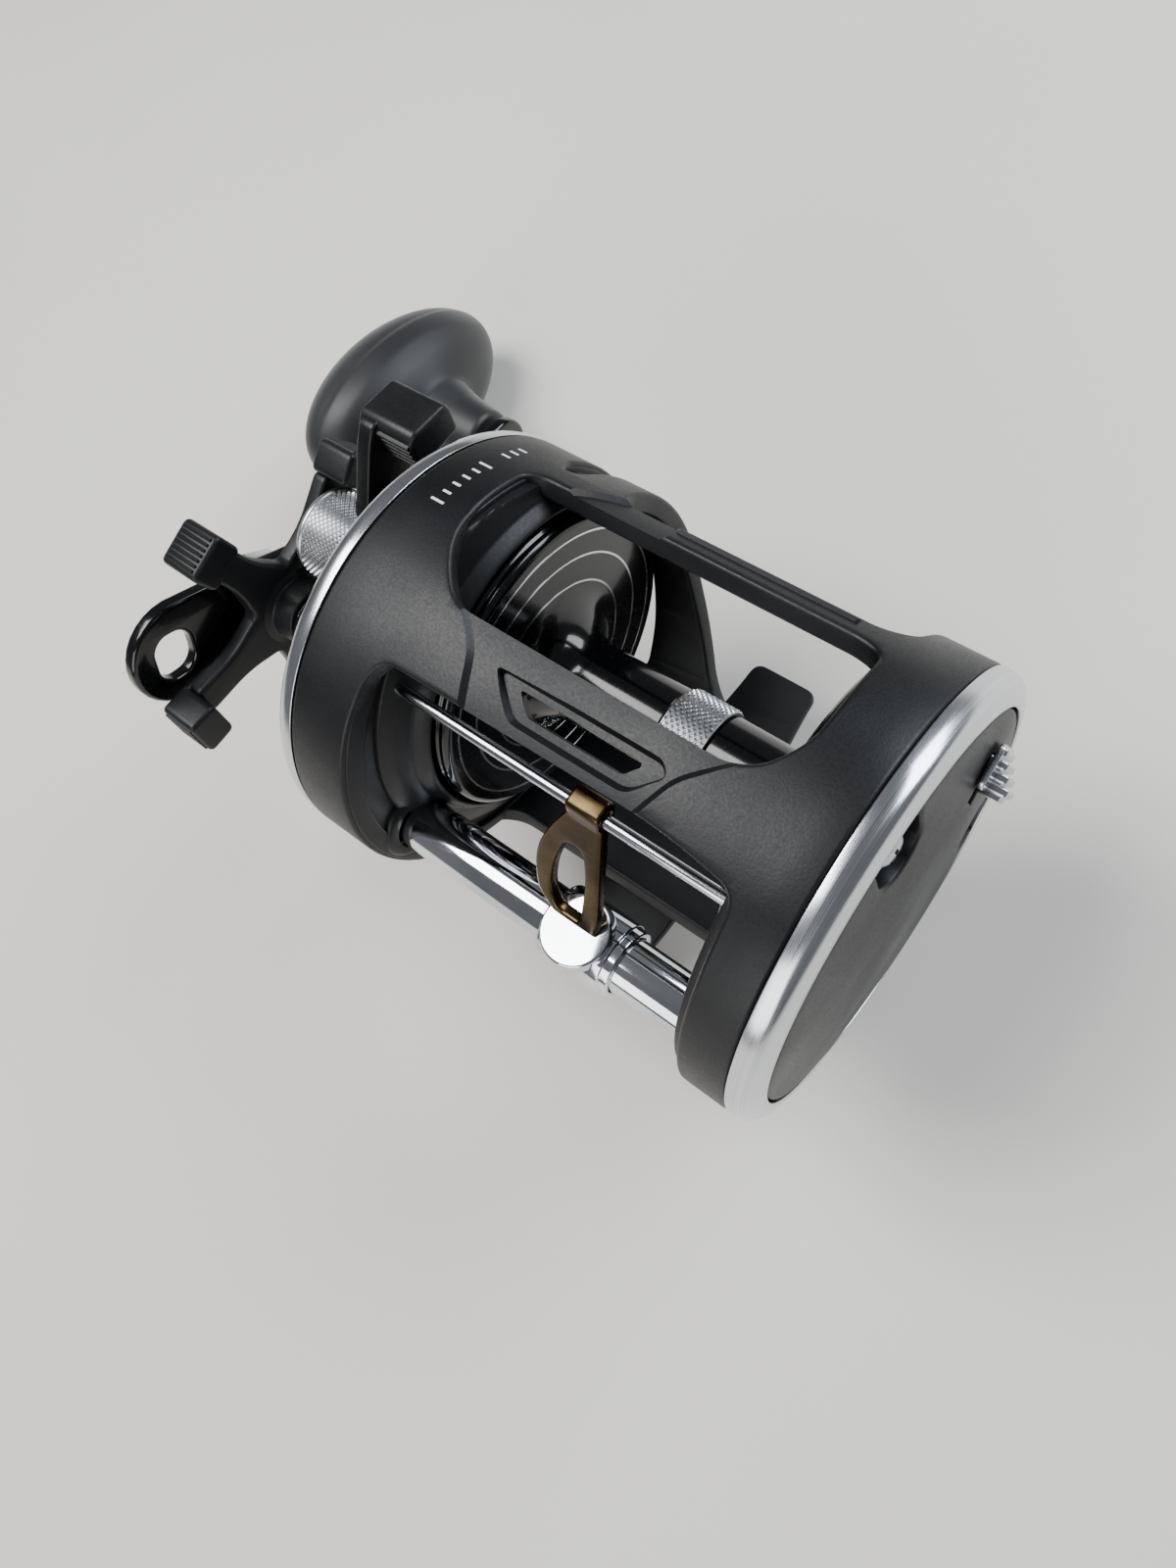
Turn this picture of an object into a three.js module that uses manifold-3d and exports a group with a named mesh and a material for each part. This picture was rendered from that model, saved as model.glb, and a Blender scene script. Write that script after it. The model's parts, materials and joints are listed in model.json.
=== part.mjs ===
// Level-wind multiplier fishing reel with a star drag, in millimetres, +Z up.
// X runs along the spool: the handle is at -X and the clicker plate at +X. The line leaves at -Y.
// The origin is the middle of the reel foot's underside. Inside the model every piece is placed
// from the axis of the two trim rings, so x, y and z below are counted from that axis.
import * as THREE from 'three';
import { mergeVertices } from 'three/addons/utils/BufferGeometryUtils.js';
import Module from 'manifold-3d';

const wasm = await Module();
wasm.setup();

// ---- Driving sizes -------------------------------------------------------------------------

const ringRadius = 37;            // outside of the frame rings and of the trim rings
const leftRingEdge = 40.75;       // x where the left frame ring meets its trim ring
const rightRingEdge = -40.75;     // x where the right frame ring meets its trim ring
const shellWall = 3.4;            // thickness of the bridge, bars and platform
const ringWall = 3;               // thickness of the two frame rings
const plateWall = 1.8;            // thickness of the frame's two inner walls
const leftWallX = 31.4;           // spool side of the left frame wall
const rightWallX = -29.5;         // spool side of the right frame wall
const footStand = 7.5;            // from the lowest point of the rings down to the foot's underside
const footDrop = ringRadius + footStand;
const bodyShift = 2;              // the body's middle stands this far to +X of the foot

const trimWidth = 4.25;           // width of a trim ring along X
const coverRadius = 32.4;         // radius of the two side covers
const coverWall = 2;              // wall of the two side covers

const spoolY = 5.9;               // the spool axis lies this far behind the ring axis
const flangeRadius = 27.1;
const flangeWall = 2.2;
const rightFlangeX = -22.4;       // line side of the right flange
const leftFlangeX = 27.2;         // line side of the left flange
const flangeSkirt = 8;            // length of the cup behind the right flange
const leftFlangeSkirt = 3.6;      // length of the cup behind the left flange
const arborRadius = 7.2;
const bandRadius = 8;
const bandMiddleX = 5.5;
const bandLength = 8.6;
const shaftRadius = 1.5;

const windTubeY = -28.5;
const windTubeZ = -2.1;
const windTubeRadius = 4.7;
const windTubeWall = 0.9;
const windSlotWidth = 3.4;
const wormRadius = 3;
const wormJournal = 1.9;          // the worm shaft where it turns in its bushes
const guideRodY = -13.6;
const guideRodZ = 26.1;
const guideRodRadius = 1;
const carriageX = 8.2;
const carriageLength = 12;

const gearModule = 0.5;
const mainTeeth = 52;
const pinionTeeth = 12;
const windModule = 0.6;
const windDriveTeeth = 30;
const idlerTeeth = 20;
const wormTeeth = 15;
const driveX = [-36.6, -34.6];    // faces of the three level-wind gears
const gearAxisAngle = 204.2;      // direction from the spool axis to the gear axis, in degrees

const ratchetRadius = 7.6;
const gearShaftRadius = 3;
const handleSeatRadius = 2.4;     // the gear shaft where it carries the handle arm
const sleeveRadius = 4.6;
const handleLength = 66;          // from the gear axis to the knob axis
const handleAngle = -30;          // direction of the handle from +Y towards +Z, in degrees
const tailLength = 22;            // from the gear axis to the middle of the tail loop
const handleInnerX = -84.8;
const handleThickness = 3;
const knobMiddleX = -117.3;
const starTipRadius = 28.3;
const starTipX = -78.3;
const starTurn = 25.7;            // direction of the first star arm, in degrees
const starArms = 5;

const capOuterX = -78.4;
const capLength = 14;
const capRadius = 8.9;
const leverPivotY = 12;
const leverPivotZ = 13;
const leverShaftRadius = 1.9;
const leverBossRadius = 4.4;
const yokeTravel = 2.4;

const footLength = 67.5;
const footWidth = 14;
const footThickness = 2.4;

// ---- Facets in a full turn -----------------------------------------------------------------

const ringFacets = 32;
const pieceFacets = 16;
const smallFacets = 12;
const screwFacets = 8;

// ---- Clearances ----------------------------------------------------------------------------

const touchGap = 0.1;             // between two pieces that rest on each other
const turnGap = 0.15;             // round a shaft, pin or bearing
const cutGap = 0.3;               // where a piece stands in a hole cut for it
const swingGap = 0.8;             // round a spool flange

// ---- Geometry helpers ----------------------------------------------------------------------

const toRadians = THREE.MathUtils.degToRad;

// Sends the XY plane of a flat outline to YZ, and its thickness to X.
const flatToYZ = new THREE.Matrix4().set(0, 0, 1, 0, 1, 0, 0, 0, 0, 1, 0, 0, 0, 0, 0, 1);

// A geometry as a solid, with its shared vertices merged and its faces turned outward.
function solid(source) {
  const bare = source.clone();
  bare.deleteAttribute('normal');
  bare.deleteAttribute('uv');
  const merged = mergeVertices(bare, 1e-4);
  const place = merged.getAttribute('position');
  const triangles = [];
  const corner = [new THREE.Vector3(), new THREE.Vector3(), new THREE.Vector3()];
  let volume = 0;
  for (let i = 0; i < merged.index.count; i += 3) {
    const [a, b, c] = [0, 1, 2].map((k) => merged.index.getX(i + k));
    if (a === b || b === c || c === a) continue;
    triangles.push(a, b, c);
    [a, b, c].forEach((index, k) => corner[k].fromBufferAttribute(place, index));
    volume += corner[0].dot(corner[1].clone().cross(corner[2]));
  }
  if (volume < 0) triangles.reverse();
  return new wasm.Manifold(new wasm.Mesh({
    numProp: 3,
    vertProperties: new Float32Array(place.array),
    triVerts: new Uint32Array(triangles),
  }));
}

function join(first, ...others) {
  return others.reduce((sum, piece) => sum.add(piece), first);
}

function cut(first, ...others) {
  return others.reduce((rest, piece) => rest.subtract(piece), first);
}

// A solid turned about a line parallel to X. The profile is a list of [x, radius].
function turned(profile, segments = pieceFacets, y = 0, z = 0) {
  const points = profile.map(([x, radius]) => new THREE.Vector2(radius, x));
  const onAxis = profile[0][1] === 0 && profile[profile.length - 1][1] === 0;
  if (!onAxis) points.push(points[0].clone());
  const geometry = new THREE.LatheGeometry(points, segments);
  geometry.rotateZ(-Math.PI / 2);
  geometry.translate(0, y, z);
  return solid(geometry);
}

function rod(x0, x1, radius, segments = smallFacets, y = 0, z = 0) {
  return turned([[x0, 0], [x0, radius], [x1, radius], [x1, 0]], segments, y, z);
}

function sleeve(x0, x1, inner, outer, segments = pieceFacets, y = 0, z = 0) {
  return turned([[x0, inner], [x0, outer], [x1, outer], [x1, inner]], segments, y, z);
}

// A flat outline in YZ made thick from x0 to x1.
function plate(shape, x0, x1, y = 0, z = 0, curveSegments = 6) {
  const geometry = new THREE.ExtrudeGeometry(shape, {
    depth: x1 - x0, bevelEnabled: false, curveSegments,
  });
  geometry.applyMatrix4(flatToYZ);
  geometry.translate(x0, y, z);
  return solid(geometry);
}

function block(x0, x1, y0, y1, z0, z1) {
  const geometry = new THREE.BoxGeometry(x1 - x0, y1 - y0, z1 - z0);
  geometry.translate((x0 + x1) / 2, (y0 + y1) / 2, (z0 + z1) / 2);
  return solid(geometry);
}

function upright(radius, x, y, z0, z1, segments = pieceFacets) {
  const geometry = new THREE.CylinderGeometry(radius, radius, z1 - z0, segments);
  geometry.rotateX(Math.PI / 2);
  geometry.translate(x, y, (z0 + z1) / 2);
  return solid(geometry);
}

// An outline through [y, z] points.
function outline(points) {
  return new THREE.Shape(points.map(([y, z]) => new THREE.Vector2(y, z)));
}

function around(angle, radius, y = 0, z = 0) {
  return [y + radius * Math.cos(toRadians(angle)), z + radius * Math.sin(toRadians(angle))];
}

// A box that reaches from a near to a far distance out from (y, z), along an angle.
function radialBox(x0, x1, near, far, half, angle, y = 0, z = 0) {
  const [sideY, sideZ] = around(angle + 90, half);
  const [nearY, nearZ] = around(angle, near, y, z);
  const [farY, farZ] = around(angle, far, y, z);
  const shape = outline([[nearY - sideY, nearZ - sideZ], [farY - sideY, farZ - sideZ],
    [farY + sideY, farZ + sideZ], [nearY + sideY, nearZ + sideZ]]);
  return plate(shape, x0, x1);
}

// A curved patch of the frame's shell. pointAt gives the x and the angle at each station and
// each share of the way across; the patch is filled from the inner to the outer radius.
function shellPatch(stations, columns, pointAt, inner, outer) {
  const rows = stations.length - 1;
  const place = [];
  for (const radius of [inner, outer]) {
    for (const station of stations) {
      for (let j = 0; j <= columns; j += 1) {
        const [x, angle] = pointAt(station, j / columns);
        place.push(x, ...around(angle, radius));
      }
    }
  }
  const layer = (rows + 1) * (columns + 1);
  const at = (i, j, top) => i * (columns + 1) + j + (top ? layer : 0);
  const faces = [];
  const quad = (a, b, c, d) => faces.push(a, b, c, a, c, d);
  for (let i = 0; i < rows; i += 1) {
    for (let j = 0; j < columns; j += 1) {
      quad(at(i, j, true), at(i + 1, j, true), at(i + 1, j + 1, true), at(i, j + 1, true));
      quad(at(i, j, false), at(i, j + 1, false), at(i + 1, j + 1, false), at(i + 1, j, false));
    }
  }
  for (let i = 0; i < rows; i += 1) {
    quad(at(i, 0, false), at(i + 1, 0, false), at(i + 1, 0, true), at(i, 0, true));
    quad(at(i, columns, true), at(i + 1, columns, true),
      at(i + 1, columns, false), at(i, columns, false));
  }
  for (let j = 0; j < columns; j += 1) {
    quad(at(0, j, true), at(0, j + 1, true), at(0, j + 1, false), at(0, j, false));
    quad(at(rows, j, false), at(rows, j + 1, false), at(rows, j + 1, true), at(rows, j, true));
  }
  const geometry = new THREE.BufferGeometry();
  geometry.setAttribute('position', new THREE.Float32BufferAttribute(place, 3));
  geometry.setIndex(faces);
  return solid(geometry);
}

// The value at t of a line through [t, value] pairs in rising order of t.
function along(pairs, t) {
  for (let i = 1; i < pairs.length; i += 1) {
    const [t0, v0] = pairs[i - 1];
    const [t1, v1] = pairs[i];
    if (t <= t1) return v0 + (v1 - v0) * Math.max(0, (t - t0) / (t1 - t0));
  }
  return pairs[pairs.length - 1][1];
}

// A bar across the frame between a rear and a front edge, each a list of [x, angle].
function crossBar(rear, front, columns) {
  const stations = [...rear, ...front].map(([x]) => x).sort((a, b) => a - b)
    .filter((x, i, all) => i === 0 || x - all[i - 1] > 0.3);
  const pointAt = (x, share) => {
    const low = along(rear, x);
    return [x, low + (along(front, x) - low) * share];
  };
  return shellPatch(stations, columns, pointAt, shellInner, ringRadius);
}

// The outline of an involute gear with its first tooth towards the given angle.
function gearOutline(teeth, module, { boreRadius, turn = 0, backlash = 0.12 }) {
  const pressureAngle = toRadians(25);
  const pitchRadius = teeth * module / 2;
  const baseRadius = pitchRadius * Math.cos(pressureAngle);
  const tipRadius = pitchRadius + 0.8 * module;
  const rootRadius = pitchRadius - 1.1 * module;
  const roll = (radius) => {
    const a = Math.sqrt(Math.max(0, (radius / baseRadius) ** 2 - 1));
    return a - Math.atan(a);
  };
  const halfAtPitch = Math.PI / (2 * teeth) - backlash * module / (2 * pitchRadius);
  const halfAt = (radius) => halfAtPitch + roll(pitchRadius) - roll(Math.max(radius, baseRadius));
  const flank = [[rootRadius, halfAt(rootRadius)], [tipRadius, halfAt(tipRadius)]];
  const points = [];
  for (let tooth = 0; tooth < teeth; tooth += 1) {
    const middle = turn + 2 * Math.PI * tooth / teeth;
    for (const [radius, half] of flank) {
      points.push([radius * Math.cos(middle - half), radius * Math.sin(middle - half)]);
    }
    for (const [radius, half] of [...flank].reverse()) {
      points.push([radius * Math.cos(middle + half), radius * Math.sin(middle + half)]);
    }
  }
  const shape = outline(points);
  if (boreRadius) shape.holes.push(new THREE.Path().absarc(0, 0, boreRadius, 0, 2 * Math.PI, true));
  return shape;
}

// A tooth phase for the second of two meshed gears, so a gap meets the first gear's tooth.
function meshedTurn(firstTeeth, firstTurn, secondTeeth, direction) {
  const past = (direction - firstTurn) * firstTeeth / (2 * Math.PI);
  return direction + Math.PI + (past + 0.5) * 2 * Math.PI / secondTeeth;
}

const reel = new THREE.Group();
reel.position.set(bodyShift, 0, footDrop);

const finishes = {
  graphite: { color: '#1b1c1f', roughness: 0.55, metalness: 0 },
  glossBlack: { color: '#0c0c0e', roughness: 0.18, metalness: 0.2 },
  rubber: { color: '#2a2b2d', roughness: 0.75, metalness: 0 },
  silver: { color: '#d2d3d6', roughness: 0.25, metalness: 1 },
  chrome: { color: '#e4e6ea', roughness: 0.06, metalness: 1 },
  steel: { color: '#b4b6ba', roughness: 0.3, metalness: 1 },
  bronze: { color: '#8a6a3a', roughness: 0.35, metalness: 1 },
  brass: { color: '#b8964e', roughness: 0.35, metalness: 1 },
  nylon: { color: '#d8d4c6', roughness: 0.6, metalness: 0 },
  carbon: { color: '#26272a', roughness: 0.7, metalness: 0 },
};

// Adds a named piece to the reel, at the place its own axis has and turned about that axis.
function add(name, piece, finish, y = 0, z = 0, turn = 0) {
  const mesh = piece.getMesh();
  const geometry = new THREE.BufferGeometry();
  geometry.setAttribute('position', new THREE.BufferAttribute(mesh.vertProperties, 3));
  geometry.setIndex(new THREE.BufferAttribute(mesh.triVerts, 1));
  const material = new THREE.MeshStandardMaterial(finishes[finish]);
  const item = new THREE.Mesh(geometry, material);
  item.name = name;
  item.position.set(0, y, z);
  item.rotation.x = turn;
  reel.add(item);
}

// ---- Places worked out from the sizes ------------------------------------------------------

const gearSpacing = gearModule * (mainTeeth + pinionTeeth) / 2;
const [gearY, gearZ] = around(gearAxisAngle, gearSpacing, spoolY, 0);
const windDistance = Math.hypot(windTubeY - gearY, windTubeZ - gearZ);
const driveToIdler = windModule * (windDriveTeeth + idlerTeeth) / 2;
const idlerToWorm = windModule * (idlerTeeth + wormTeeth) / 2;
const windDirection = Math.atan2(windTubeZ - gearZ, windTubeY - gearY);
const idlerSwing = Math.acos((driveToIdler ** 2 + windDistance ** 2 - idlerToWorm ** 2)
  / (2 * driveToIdler * windDistance));
const idlerDirection = windDirection + idlerSwing;
const idlerY = gearY + driveToIdler * Math.cos(idlerDirection);
const idlerZ = gearZ + driveToIdler * Math.sin(idlerDirection);
const shellInner = ringRadius - shellWall;
const ringBore = ringRadius - ringWall;
const collarRadius = flangeRadius + swingGap;
const innerPlateX = rightWallX - plateWall - touchGap;
const innerPlateBack = innerPlateX - 1.8;

// ---- Frame ---------------------------------------------------------------------------------

const bridgeFront = 109.4;
const bridgeRear = 90.6;
const rearBarFront = 49.4;
const rearBarRear = 41;
const platformFront = -120;
const platformRear = -62;
const joinDepth = 0.6;            // how far a bar reaches into the ring it grows from

function frameRings() {
  const left = turned([
    [leftWallX, 0], [leftWallX, ringRadius - 0.8], [leftWallX + 0.8, ringRadius],
    [leftRingEdge, ringRadius], [leftRingEdge, ringBore], [leftWallX + plateWall, ringBore],
    [leftWallX + plateWall, 0],
  ], ringFacets);
  const right = turned([
    [rightRingEdge, ringBore], [rightRingEdge, ringRadius], [rightWallX - 0.8, ringRadius],
    [rightWallX, ringRadius - 0.8], [rightWallX, 0], [rightWallX - plateWall, 0],
    [rightWallX - plateWall, ringBore],
  ], ringFacets);
  return [left, right];
}

function bridge() {
  const rightEnd = rightWallX - joinDepth;
  const leftEnd = leftWallX + joinDepth;
  const front = [[rightEnd, bridgeFront + 8], [rightEnd + 1.6, bridgeFront + 3.2],
    [rightEnd + 3.4, bridgeFront + 0.8], [rightEnd + 6, bridgeFront],
    [leftEnd - 6, bridgeFront], [leftEnd - 3.4, bridgeFront + 0.8],
    [leftEnd - 1.6, bridgeFront + 3.2], [leftEnd, bridgeFront + 8]];
  const rear = [[rightEnd, bridgeRear - 30], [rightEnd + 1.6, bridgeRear - 14],
    [rightEnd + 5.6, bridgeRear - 7.6], [rightEnd + 10, bridgeRear - 2.6],
    [rightEnd + 14.5, bridgeRear], [leftEnd - 8.3, bridgeRear], [leftEnd - 5.6, bridgeRear - 2.4],
    [leftEnd - 3, bridgeRear - 8.6], [leftEnd - 1.2, bridgeRear - 17],
    [leftEnd, bridgeRear - 34]];
  return crossBar(rear, front, 3);
}

function bridgeSlot() {
  const floor = ringRadius - 1.2;
  const recess = shellPatch([0, 1], 1, (u, v) => [
    -11 + (v * 1.6 + u * (25.6 - v * 3.4)), 97.6 + 7.6 * v], floor, ringRadius + 2);
  const opening = shellPatch([0, 1], 1, (u, v) => [
    -7.4 + v * 0.8 + u * (19.4 - v * 1.4), 99.2 + 4 * v], shellInner - 2, ringRadius + 2);
  return [recess, opening];
}

function rearBar() {
  const rightEnd = rightWallX - joinDepth;
  const leftEnd = leftWallX + joinDepth;
  const rear = [[rightEnd, rearBarRear - 5], [rightEnd + 5, rearBarRear - 1],
    [rightEnd + 12, rearBarRear], [leftEnd - 6, rearBarRear], [leftEnd, rearBarRear - 4]];
  const front = [[rightEnd, rearBarFront + 4], [rightEnd + 4, rearBarFront + 0.6],
    [rightEnd + 8, rearBarFront], [leftEnd - 4, rearBarFront], [leftEnd, rearBarFront + 5]];
  return crossBar(rear, front, 1);
}

// The rear strut sweeps from the rear bar down to the platform.
function rearStrut() {
  const low = platformRear - 2;
  const high = rearBarRear + 3;
  const rightSide = [[low, -23.5], [-52, -21.5], [-40, -22.8], [-20, -25], [20, -25], [high, -25.4]];
  const leftSide = [[low, 3], [-56, -5.5], [-50, -9], [-34, -13.4], [-18, -16.5], [20, -17.5],
    [32, -16.8], [high, -12]];
  const stations = [low, -56, -50, -43, -34, -26, -18, -9, 0, 10, 20, 32, high];
  return shellPatch(stations, 1, (angle, share) => {
    const side = along(rightSide, angle);
    return [side + (along(leftSide, angle) - side) * share, angle];
  }, shellInner, ringRadius - 0.6);
}

function platform() {
  const rightEnd = rightWallX - joinDepth;
  const leftEnd = leftWallX + joinDepth;
  const front = [[rightEnd, platformFront - 6], [rightEnd + 4, platformFront],
    [leftEnd - 4, platformFront], [leftEnd, platformFront - 6]];
  const rear = [[rightEnd, platformRear + 6], [rightEnd + 4, platformRear],
    [leftEnd - 5, platformRear], [leftEnd, platformRear + 8]];
  return crossBar(front, rear, 6);
}

const footTop = -footDrop + footThickness;
const saddleHalfLength = 17;
const saddleHalfWidth = 8.5;

// The saddle carries the foot under the platform.
function saddle() {
  const width = saddleHalfWidth;
  const shape = outline([[-saddleHalfLength, footTop + touchGap],
    [saddleHalfLength, footTop + touchGap], [saddleHalfLength - 3, -33], [-saddleHalfLength + 3, -33]]);
  return plate(shape, -bodyShift - width, -bodyShift + width);
}

const footScrewPlaces = [[-bodyShift, -9], [-bodyShift, 9]];
const footScrewRadius = 1.25;
const footScrewHead = 2.2;
const bearingRadius = 4.5;
const bearingWidth = 3;
const leftBossOuter = 6.4;
const leftBossEnd = leftWallX + plateWall + 3.2;

function frame() {
  const [left, right] = frameRings();
  const collar = sleeve(rightWallX - 0.4, rightWallX + 1.5, collarRadius, collarRadius + 2.8, ringFacets,
    spoolY, 0).intersect(rod(rightWallX - 0.4, rightWallX + 1.5, ringRadius - 0.8, ringFacets));
  const boss = rod(leftWallX + plateWall - 0.2, leftBossEnd, leftBossOuter, pieceFacets, spoolY, 0);
  const body = join(left, right, bridge(), rearBar(), rearStrut(), platform(), saddle(), collar,
    boss);
  const windHole = rod(innerPlateBack - cutGap, rightWallX + 3, windTubeRadius + cutGap,
    pieceFacets, windTubeY, windTubeZ);
  const windSocket = rod(leftWallX - 1, leftWallX + plateWall + 1, windTubeRadius + cutGap, pieceFacets,
    windTubeY, windTubeZ);
  const rodHoles = rod(rightWallX - plateWall - 1, leftWallX + plateWall + 1,
    guideRodRadius + turnGap, smallFacets, guideRodY, guideRodZ);
  const spoolOpening = rod(rightWallX - plateWall - 1, rightWallX + 4, collarRadius, ringFacets, spoolY, 0);
  const bearingBore = rod(leftWallX + plateWall, leftBossEnd + 1, bearingRadius + turnGap, pieceFacets,
    spoolY, 0);
  const shaftBore = rod(leftWallX - 1, leftBossEnd + 1, shaftRadius + 0.9, smallFacets, spoolY, 0);
  const screwHoles = footScrewPlaces.map(([x, y]) => upright(footScrewRadius + turnGap, x, y,
    footTop - 1, footTop + 5.2, screwFacets));
  const sideScrewHoles = sideScrewAngles.map((angle) => {
    const [y, z] = around(angle, sideScrewCircle);
    return rod(rightRingEdge - 1, rightRingEdge + 5.4, sideScrewRadius + turnGap, screwFacets, y, z);
  });
  const coverScrewHoles = coverScrewAngles.map((angle) => {
    const [y, z] = around(angle, coverScrewCircle);
    return rod(coverPostEnd - 5.5, coverPostEnd + 1, coverScrewRadius + turnGap, screwFacets, y, z);
  });
  const coverPosts = coverScrewAngles.map((angle) => {
    const [y, z] = around(angle, coverScrewCircle);
    return rod(leftWallX + 0.4, coverPostEnd, 3, smallFacets, y, z);
  });
  return cut(join(body, ...coverPosts), windHole, windSocket, rodHoles, spoolOpening,
    bearingBore, shaftBore, ...bridgeSlot(), ...screwHoles, ...sideScrewHoles, ...coverScrewHoles);
}

// ---- Screws --------------------------------------------------------------------------------

const coverScrewAngles = [85, -40];
const coverScrewCircle = 26.6;
const coverScrewRadius = 1.4;
const coverScrewHead = 2.6;
const coverPostEnd = 40.4;
const coverDome = 46.2;           // x of the left cover's middle
const coverEdge = 44.7;           // x of the left cover's rim
const notchFloor = 43;
const notchHalf = 3.9;

const sideScrewAngles = [75, 195, 315];
const sideScrewCircle = ringRadius - ringWall / 2;
const sideScrewRadius = 0.7;
const sideScrewHead = 1.1;

function panScrew(x0, shankEnd, shankRadius, headRadius, headHeight, y, z) {
  const out = Math.sign(x0 - shankEnd);
  return turned([
    [shankEnd, 0], [shankEnd, shankRadius], [x0, shankRadius], [x0, headRadius],
    [x0 + out * headHeight * 0.6, headRadius * 0.92], [x0 + out * headHeight, headRadius * 0.5],
    [x0 + out * headHeight, 0],
  ], smallFacets, y, z);
}

add('frame', frame(), 'graphite');

coverScrewAngles.forEach((angle, i) => {
  const [y, z] = around(angle, coverScrewCircle);
  add(`left_cover_screw_${i + 1}`,
    panScrew(notchFloor + touchGap, coverPostEnd - 4.8, coverScrewRadius, coverScrewHead, 1.7, y, z),
    'silver');
});

sideScrewAngles.forEach((angle, i) => {
  const [y, z] = around(angle, sideScrewCircle);
  add(`handle_side_screw_${i + 1}`,
    panScrew(rightRingEdge - trimWidth + 2.1 - touchGap, rightRingEdge + 5, sideScrewRadius,
      sideScrewHead, 0.9, y, z), 'steel');
});

// ---- Foot ----------------------------------------------------------------------------------

function footShape() {
  const half = footLength / 2;
  const wide = footWidth / 2;
  const shape = new THREE.Shape();
  shape.moveTo(-wide + 3, -half);
  shape.lineTo(wide - 3, -half);
  shape.quadraticCurveTo(wide - 0.6, -half, wide - 0.3, -half + 4);
  shape.lineTo(wide + 1.5, -saddleHalfLength + 2);
  shape.lineTo(wide + 1.5, saddleHalfLength - 2);
  shape.lineTo(wide - 0.3, half - 4);
  shape.quadraticCurveTo(wide - 0.6, half, wide - 3, half);
  shape.lineTo(-wide + 3, half);
  shape.quadraticCurveTo(-wide + 0.6, half, -wide + 0.3, half - 4);
  shape.lineTo(-wide - 1.5, saddleHalfLength - 2);
  shape.lineTo(-wide - 1.5, -saddleHalfLength + 2);
  shape.lineTo(-wide + 0.3, -half + 4);
  shape.quadraticCurveTo(-wide + 0.6, -half, -wide + 3, -half);
  return shape;
}

function foot() {
  const geometry = new THREE.ExtrudeGeometry(footShape(), {
    depth: footThickness, bevelEnabled: false, curveSegments: 4,
  });
  geometry.translate(-bodyShift, 0, -footDrop);
  const body = solid(geometry);
  const half = footLength / 2;
  const ramp = (side) => {
    const wedge = outline([[side * half, footTop + 1], [side * half, footTop - 0.9],
      [side * (saddleHalfLength + 1.5), footTop + 0.01], [side * (saddleHalfLength + 1.5), footTop + 1]]);
    return plate(wedge, -bodyShift - 12, -bodyShift + 12);
  };
  const screwHoles = footScrewPlaces.map(([x, y]) => join(
    upright(footScrewRadius + turnGap, x, y, -footDrop - 1, footTop + 1, screwFacets),
    upright(footScrewHead + turnGap, x, y, -footDrop - 1, -footDrop + 1.3, smallFacets)));
  return cut(body, ramp(1), ramp(-1), ...screwHoles);
}

add('reel_foot', foot(), 'graphite');

footScrewPlaces.forEach(([x, y], i) => {
  const shank = upright(footScrewRadius, x, y, -footDrop + 0.8, footTop + 4.6, screwFacets);
  const head = upright(footScrewHead, x, y, -footDrop + 0.1, -footDrop + 1.2, smallFacets);
  add(`foot_screw_${i + 1}`, join(shank, head), 'steel');
});

// ---- Left side: trim ring, cover, clicker ---------------------------------------------------

function trimRing(edge, out, shape) {
  return turned(shape.map(([x, radius]) => [edge + out * x, radius]), ringFacets);
}

const trimSection = [
  [touchGap, coverRadius + cutGap], [touchGap, ringRadius], [2.4, ringRadius],
  [3.4, ringRadius - 0.5], [4.0, ringRadius - 1.6], [trimWidth, ringRadius - 3],
  [trimWidth, coverRadius + cutGap],
];
const sideScrewPlaces = sideScrewAngles.map((angle) => around(angle, sideScrewCircle));

add('left_trim_ring', trimRing(leftRingEdge, 1, trimSection), 'silver');

const buttonReach = 18.3;         // from the spool axis to the middle of the clicker button
const buttonAngle = 15.9;         // the direction it slides along, from +Y towards +Z
const buttonTravel = 4;
const stemHalf = 1.6;
const tongueX = [39.2, 41.2];
const springPostReach = buttonReach + 4.6;

function leftCover() {
  const shell = turned([
    [leftRingEdge + touchGap, coverRadius - coverWall], [leftRingEdge + touchGap, coverRadius],
    [coverEdge - 0.6, coverRadius], [coverEdge, coverRadius - 0.7], [coverDome - 0.5, 18],
    [coverDome, 0], [coverDome - coverWall, 0], [coverEdge - coverWall, coverRadius - coverWall],
  ], ringFacets);
  const screwBosses = coverScrewAngles.map((angle) => {
    const [y, z] = around(angle, coverScrewCircle);
    return rod(coverPostEnd + touchGap, coverEdge + 0.6, notchHalf + 1, smallFacets, y, z);
  });
  const notches = coverScrewAngles.map((angle) => {
    const [y, z] = around(angle, coverScrewCircle);
    const pocket = rod(notchFloor, coverDome + 1, notchHalf, smallFacets, y, z);
    return join(pocket, radialBox(notchFloor, coverDome + 1, coverScrewCircle,
      coverScrewCircle + 10, notchHalf, angle));
  });
  const screwHoles = coverScrewAngles.map((angle) => {
    const [y, z] = around(angle, coverScrewCircle);
    return rod(coverPostEnd, notchFloor + 1, coverScrewRadius + turnGap, screwFacets, y, z);
  });
  const stemSlot = radialBox(tongueX[1], coverDome + 2, buttonReach - 1.6 - cutGap - buttonTravel,
    buttonReach + 1.6 + cutGap, stemHalf + cutGap, buttonAngle, spoolY, 0);
  const springPost = rod(tongueX[0] + 0.2, coverDome - coverWall + 0.4, 1.2, screwFacets,
    ...around(buttonAngle, springPostReach, spoolY, 0));
  return cut(join(shell, ...screwBosses, springPost), ...notches, ...screwHoles, stemSlot);
}

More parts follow.
